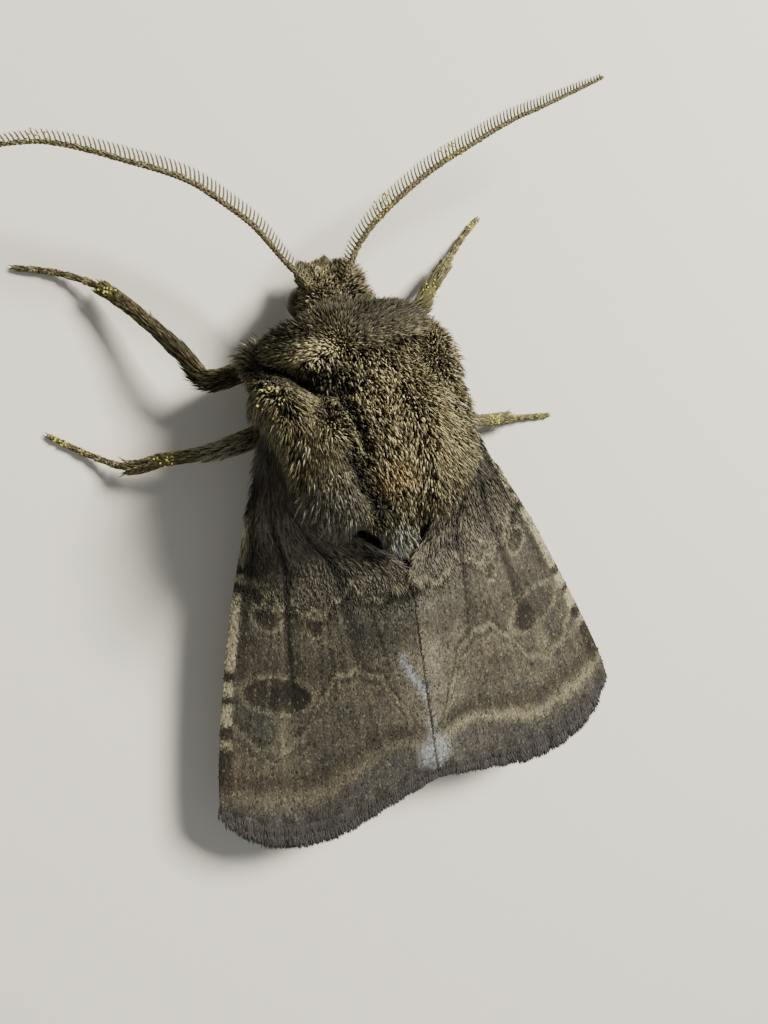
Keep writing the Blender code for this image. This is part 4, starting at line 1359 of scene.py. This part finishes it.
def legRadius(t, knee, ankle):  # t from 0 at the body to 1 at the claws
    shape = legShape
    thigh = shape["femur"] * np.sqrt(np.clip(np.sin(math.pi * np.clip(0.12 + 0.80 * t / knee, 0, 1)), 0.2, 1))
    shin = shape["shin"] * (0.75 + 0.45 * np.clip((t - knee) / (ankle - knee), 0, 1))
    joint = footPlace(t, ankle)
    foot = shape["foot"] * (0.78 + 0.42 * (joint % 1.0) ** 1.5) * (1 - 0.06 * np.floor(joint))
    return np.where(t < knee, thigh, np.where(t < ankle, shin, foot))


def layOutLeg(plan):
    steps = legShape["steps"]
    middle, spans = routeCurve(plan["route"], steps + 1)
    joints = (np.interp(plan[joint], np.arange(len(spans)), spans) for joint in ("knee", "ankle"))
    knee, ankle = (float(joint / spans[-1]) for joint in joints)
    t = np.linspace(0, 1, steps + 1)
    radii = legRadius(t, knee, ankle)
    middle[:, 2] = np.maximum(middle[:, 2], radii + legShape["clear"])
    along, across, up = axesOf(middle)
    return {"middle": middle, "radii": radii, "t": t, "knee": knee, "ankle": ankle,
            "foot": footPlace(t, ankle), "along": along, "across": across, "up": up}


# Spurs stand at the end of the shin: one on the foreleg, two on the others, four on the hind leg.
def legShell(name, leg):
    foot, knee, ankle = leg["foot"], leg["knee"], leg["ankle"]
    parts = [tube(leg["middle"], leg["radii"], legShape["around"])]
    ringTone = np.where((leg["t"] > ankle) & (foot % 1 > 0.78), 1.9, 1.0)
    tone = [tones["leg"] * np.repeat(ringTone, legShape["around"])[:, None], np.tile(tones["legEnd"], (2, 1))]
    s = np.linspace(0, 1, 6)[:, None]
    for place, hand in spurPlan[name[:4]]:
        i = int((knee + (ankle - knee) * place) * legShape["steps"])
        aside = leg["across"][i] * hand
        way = unit(leg["along"][i] * 0.9 + aside * 0.45 - leg["up"][i] * 0.15)
        line = leg["middle"][i] + aside * 0.1 + way * s * spurPlan["length"]
        spur, faces = tube(line, spurPlan["radius"] - spurPlan["taper"] * s[:, 0], spurPlan["around"])
        spur[:, 2] = np.maximum(spur[:, 2], 0.01)
        parts.append((spur, faces))
        tone.append(np.tile(tones["spur"], (len(spur), 1)))
    return (*joined(parts), np.concatenate(tone))


def clawPair(leg):
    middle, along, across = (leg[key][-1] for key in ("middle", "along", "across"))
    s = np.linspace(0, 1, 7)[:, None]
    claws = []
    for hand in (1, -1):
        hook = middle + along * (0.02 + clawPlan["length"] * s)
        hook = hook + across * hand * (0.03 + clawPlan["splay"] * s - 0.03 * s**2)
        hook = hook + np.array((0, 0, 1)) * (0.03 * np.sin(s * math.pi) - clawPlan["hook"] * s**2)
        claw, faces = tube(hook, clawPlan["radius"] - clawPlan["taper"] * s[:, 0], clawPlan["around"])
        claw[:, 2] = np.maximum(claw[:, 2], 0.0)
        claws.append((claw, faces))
    return claws


# Hair-scales of a leg: shaggy on thigh and shin, short and flat on the foot.
def legHair(name, number, leg):
    plan, knee = legHairPlan, leg["knee"]
    n = plan["count"]
    place = chance.random(n) ** 1.15 * 0.985
    turn = chance.uniform(0, 2 * math.pi, n)
    i = (place * legShape["steps"]).astype(int)
    along = leg["along"][i]
    normal = leg["up"][i] * np.cos(turn)[:, None] + leg["across"][i] * np.sin(turn)[:, None]
    root = leg["middle"][i] + normal * (leg["radii"][i] * 0.92)[:, None]
    onFoot = place > leg["ankle"]
    fore = name.startswith("fore")
    shaggy = near(place, knee * 0.95, 0.16) if fore else 0.5 * near(place, knee * 0.7, 0.2)
    length = np.where(onFoot, plan["footLength"], plan["length"] + 0.35 * shaggy)
    length *= chance.uniform(*plan["lengths"], n)
    rise = np.where(onFoot, plan["footRise"], plan["rise"] + 0.10 * shaggy)
    rise *= chance.uniform(*plan["rises"], n)
    tip = root + along * length[:, None] + normal * rise[:, None]
    tip[:, 2] = np.maximum(tip[:, 2], 0.02)

    # pale ones among the brown, cream bands on the foot, and a whitish patch near one knee
    pale = (chance.random(n) < plan["paleShare"])[:, None]
    tone = mix(tones["brown"], tones["grey"], 0.4) * chance.uniform(0.55, 1.3, (n, 1))
    tone = np.where(pale, tones["pale"] * chance.uniform(0.7, 1.3, (n, 1)), tone)
    band = (leg["foot"][i] % 1 > 0.7) & onFoot
    tone = np.where(band[:, None], tones["cream"] * chance.uniform(0.6, 1.0, (n, 1)), tone)
    if name == "midleg_left":
        white = near(place, knee * 0.8, 0.08)[:, None] * (chance.random((n, 1)) < 0.7)
        tone = tone + (tones["white"] - tone) * white
    if fore:
        tone = tone * (1 - 0.45 * near(place, knee, 0.2))[:, None]
    width = np.where(onFoot, plan["footWidth"], plan["width"]) * chance.uniform(*plan["widths"], n)
    tone = dusted(tip, tone * plan["tint"])
    bend = root + along * (length * 0.4)[:, None] + normal * (rise * 0.9)[:, None]
    return {
        "root": root, "bend": bend, "tip": tip, "width": width, "rootTone": tone * 0.5, "tipTone": tone,
        "place": np.stack(((number + turn / (2 * math.pi) * 0.94) / len(legPlan), place), 1),
    }


def makeLegs():
    hairs, claws = [], []
    for number, (name, plan) in enumerate(legPlan.items()):
        laidOut = layOutLeg(plan)
        points, faces, tone = legShell(name, laidOut)
        leg = makePiece(name.replace("_l", "L").replace("_r", "R"), points, faces, legFinish, tone)
        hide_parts(name)
        claws += clawPair(laidOut)
        hairs.append(legHair(name, number, laidOut))
    allHair = {key: np.concatenate([hair[key] for hair in hairs]) for key in hairs[0]}
    growHair("coatLegs", allHair, hairFinish)
    points, faces = joined(claws)
    makePiece("claws", points, faces, legFinish, np.tile(tones["claw"], (len(points), 1)))


makeLegs()
print("legs")


tonguePlan = {"centre": (headX, -3.95, 1.35), "outer": 0.30, "inner": 0.07, "turns": 2.6, "radius": 0.045}


# The tongue is coiled between the palps.
def makeTongue():
    plan = tonguePlan
    s = np.linspace(0, 1, 150)
    turn = s * plan["turns"] * 2 * math.pi
    size = plan["outer"] + (plan["inner"] - plan["outer"]) * s
    coil = np.stack((0.02 * np.sin(turn * 0.5), np.sin(turn) * size, np.cos(turn) * size), 1) + plan["centre"]
    radii = plan["radius"] * (1 + 0.12 * np.sin(s * 400)) * (1 - 0.4 * s)
    points, faces = tube(coil, radii, 8, upHint=(1.0, 0.0, 0.0))
    makePiece("tongue", points, faces, legFinish, np.tile(tones["tongue"], (len(points), 1)))


makeTongue()


def makePollen():
    plan = pollenPlan
    made = newFinish("pollenGrains", plan["roughness"], plan["specular"])
    finish, nodes, links, _ = made
    where = addNode(nodes, "ShaderNodeTexCoord")
    spots = addNode(nodes, "ShaderNodeTexVoronoi", Scale=plan["spots"])
    links.new(where.outputs["Object"], spots.inputs["Vector"])
    addBlend(made, spots.outputs["Distance"], (0.0, plan["dark"]), (1.0, plan["light"]))
    addRelief(made, spots.outputs["Distance"], plan["bump"], plan["depth"])
    grains, allSeats = [], np.concatenate(seats)
    s = np.linspace(0.15, math.pi - 0.15, 7)
    for centre, size, count in plan["clumps"]:
        apart = np.linalg.norm(allSeats - np.array(centre), axis=1)
        close = allSeats[np.argsort(apart)[: 60 + int(400 * size)]]
        for _ in range(count):
            spot = close[chance.integers(len(close))] + chance.normal(0, plan["scatter"], 3)
            radius = plan["radius"] * chance.uniform(*plan["sizes"])
            spot[2] = max(spot[2], radius)
            line = spot + np.stack((0 * s, 0 * s, -np.cos(s) * radius), 1)
            grains.append(tube(line, np.sin(s) * radius, 8, upHint=(0.0, 1.0, 0.0)))
    points, faces = joined(grains)
    makePiece("pollen", points, faces, finish)


makePollen()
print("tongue and pollen")


stagePlan = {
    "floorTone": (0.70, 0.68, 0.61, 1), "floorSize": 1.2, "floorRoughness": 0.85, "floorSpecular": 0.2,
    "airTone": (0.95, 0.97, 1.0, 1), "airStrength": 0.26,
    "aim": (0, 2.5, 2.0), "lightTone": (1.0, 0.95, 0.85),
    "lights": {  # the way to each light, its power and its size
        "key": ((-0.66, -0.36, 0.70), 1.25, 0.06),
        "fill": ((0.8, 0.5, 0.7), 0.04, 0.2),
    },
    "lightDistance": 0.20,
}
cameraPlan = {
    "place": (7.18, -1.12, 27.26), "look": (-0.285, 0.203, -0.937), "up": (-0.275, -0.954, -0.123),
    "lens": 26.71, "sensor": 36.0,
}


def makeStage():
    plan = stagePlan
    half = plan["floorSize"] / 2
    corners = [(-half, -half, 0), (half, -half, 0), (half, half, 0), (-half, half, 0)]
    mesh = bpy.data.meshes.new("floor")
    mesh.from_pydata(corners, [], [(0, 1, 2, 3)])
    floor = addObject("floor", mesh)
    finish, _, _, shader = newFinish("paleFloor", plan["floorRoughness"], plan["floorSpecular"])
    shader.inputs["Base Color"].default_value = plan["floorTone"]
    mesh.materials.append(finish)

    air = bpy.data.worlds.new("air")
    air.use_nodes = True
    air.node_tree.nodes["Background"].inputs["Color"].default_value = plan["airTone"]
    air.node_tree.nodes["Background"].inputs["Strength"].default_value = plan["airStrength"]
    bpy.context.scene.world = air

    aim = Vector(toScene(plan["aim"]))
    for name, (way, power, size) in plan["lights"].items():
        light = bpy.data.lights.new(name, "AREA")
        light.size, light.energy, light.color = size, power, plan["lightTone"]
        lamp = addObject(name, light)
        lamp.location = aim + Vector(way).normalized() * plan["lightDistance"]
        lamp.rotation_euler = (aim - lamp.location).to_track_quat("-Z", "Y").to_euler()


def makeCamera():
    plan = cameraPlan
    look = Vector(plan["look"]).normalized()
    right = look.cross(Vector(plan["up"])).normalized()
    up = right.cross(look)
    camera = bpy.data.cameras.new("camera")
    camera.lens, camera.sensor_width = plan["lens"], plan["sensor"]
    camera.clip_start, camera.clip_end = 0.001, 10.0
    holder = addObject("camera", camera)
    turn = Matrix((right, up, -look)).transposed().to_4x4()
    holder.matrix_world = Matrix.Translation(Vector(toScene(plan["place"]))) @ turn
    bpy.context.scene.camera = holder


makeStage()
makeCamera()
print("floor, light and camera")
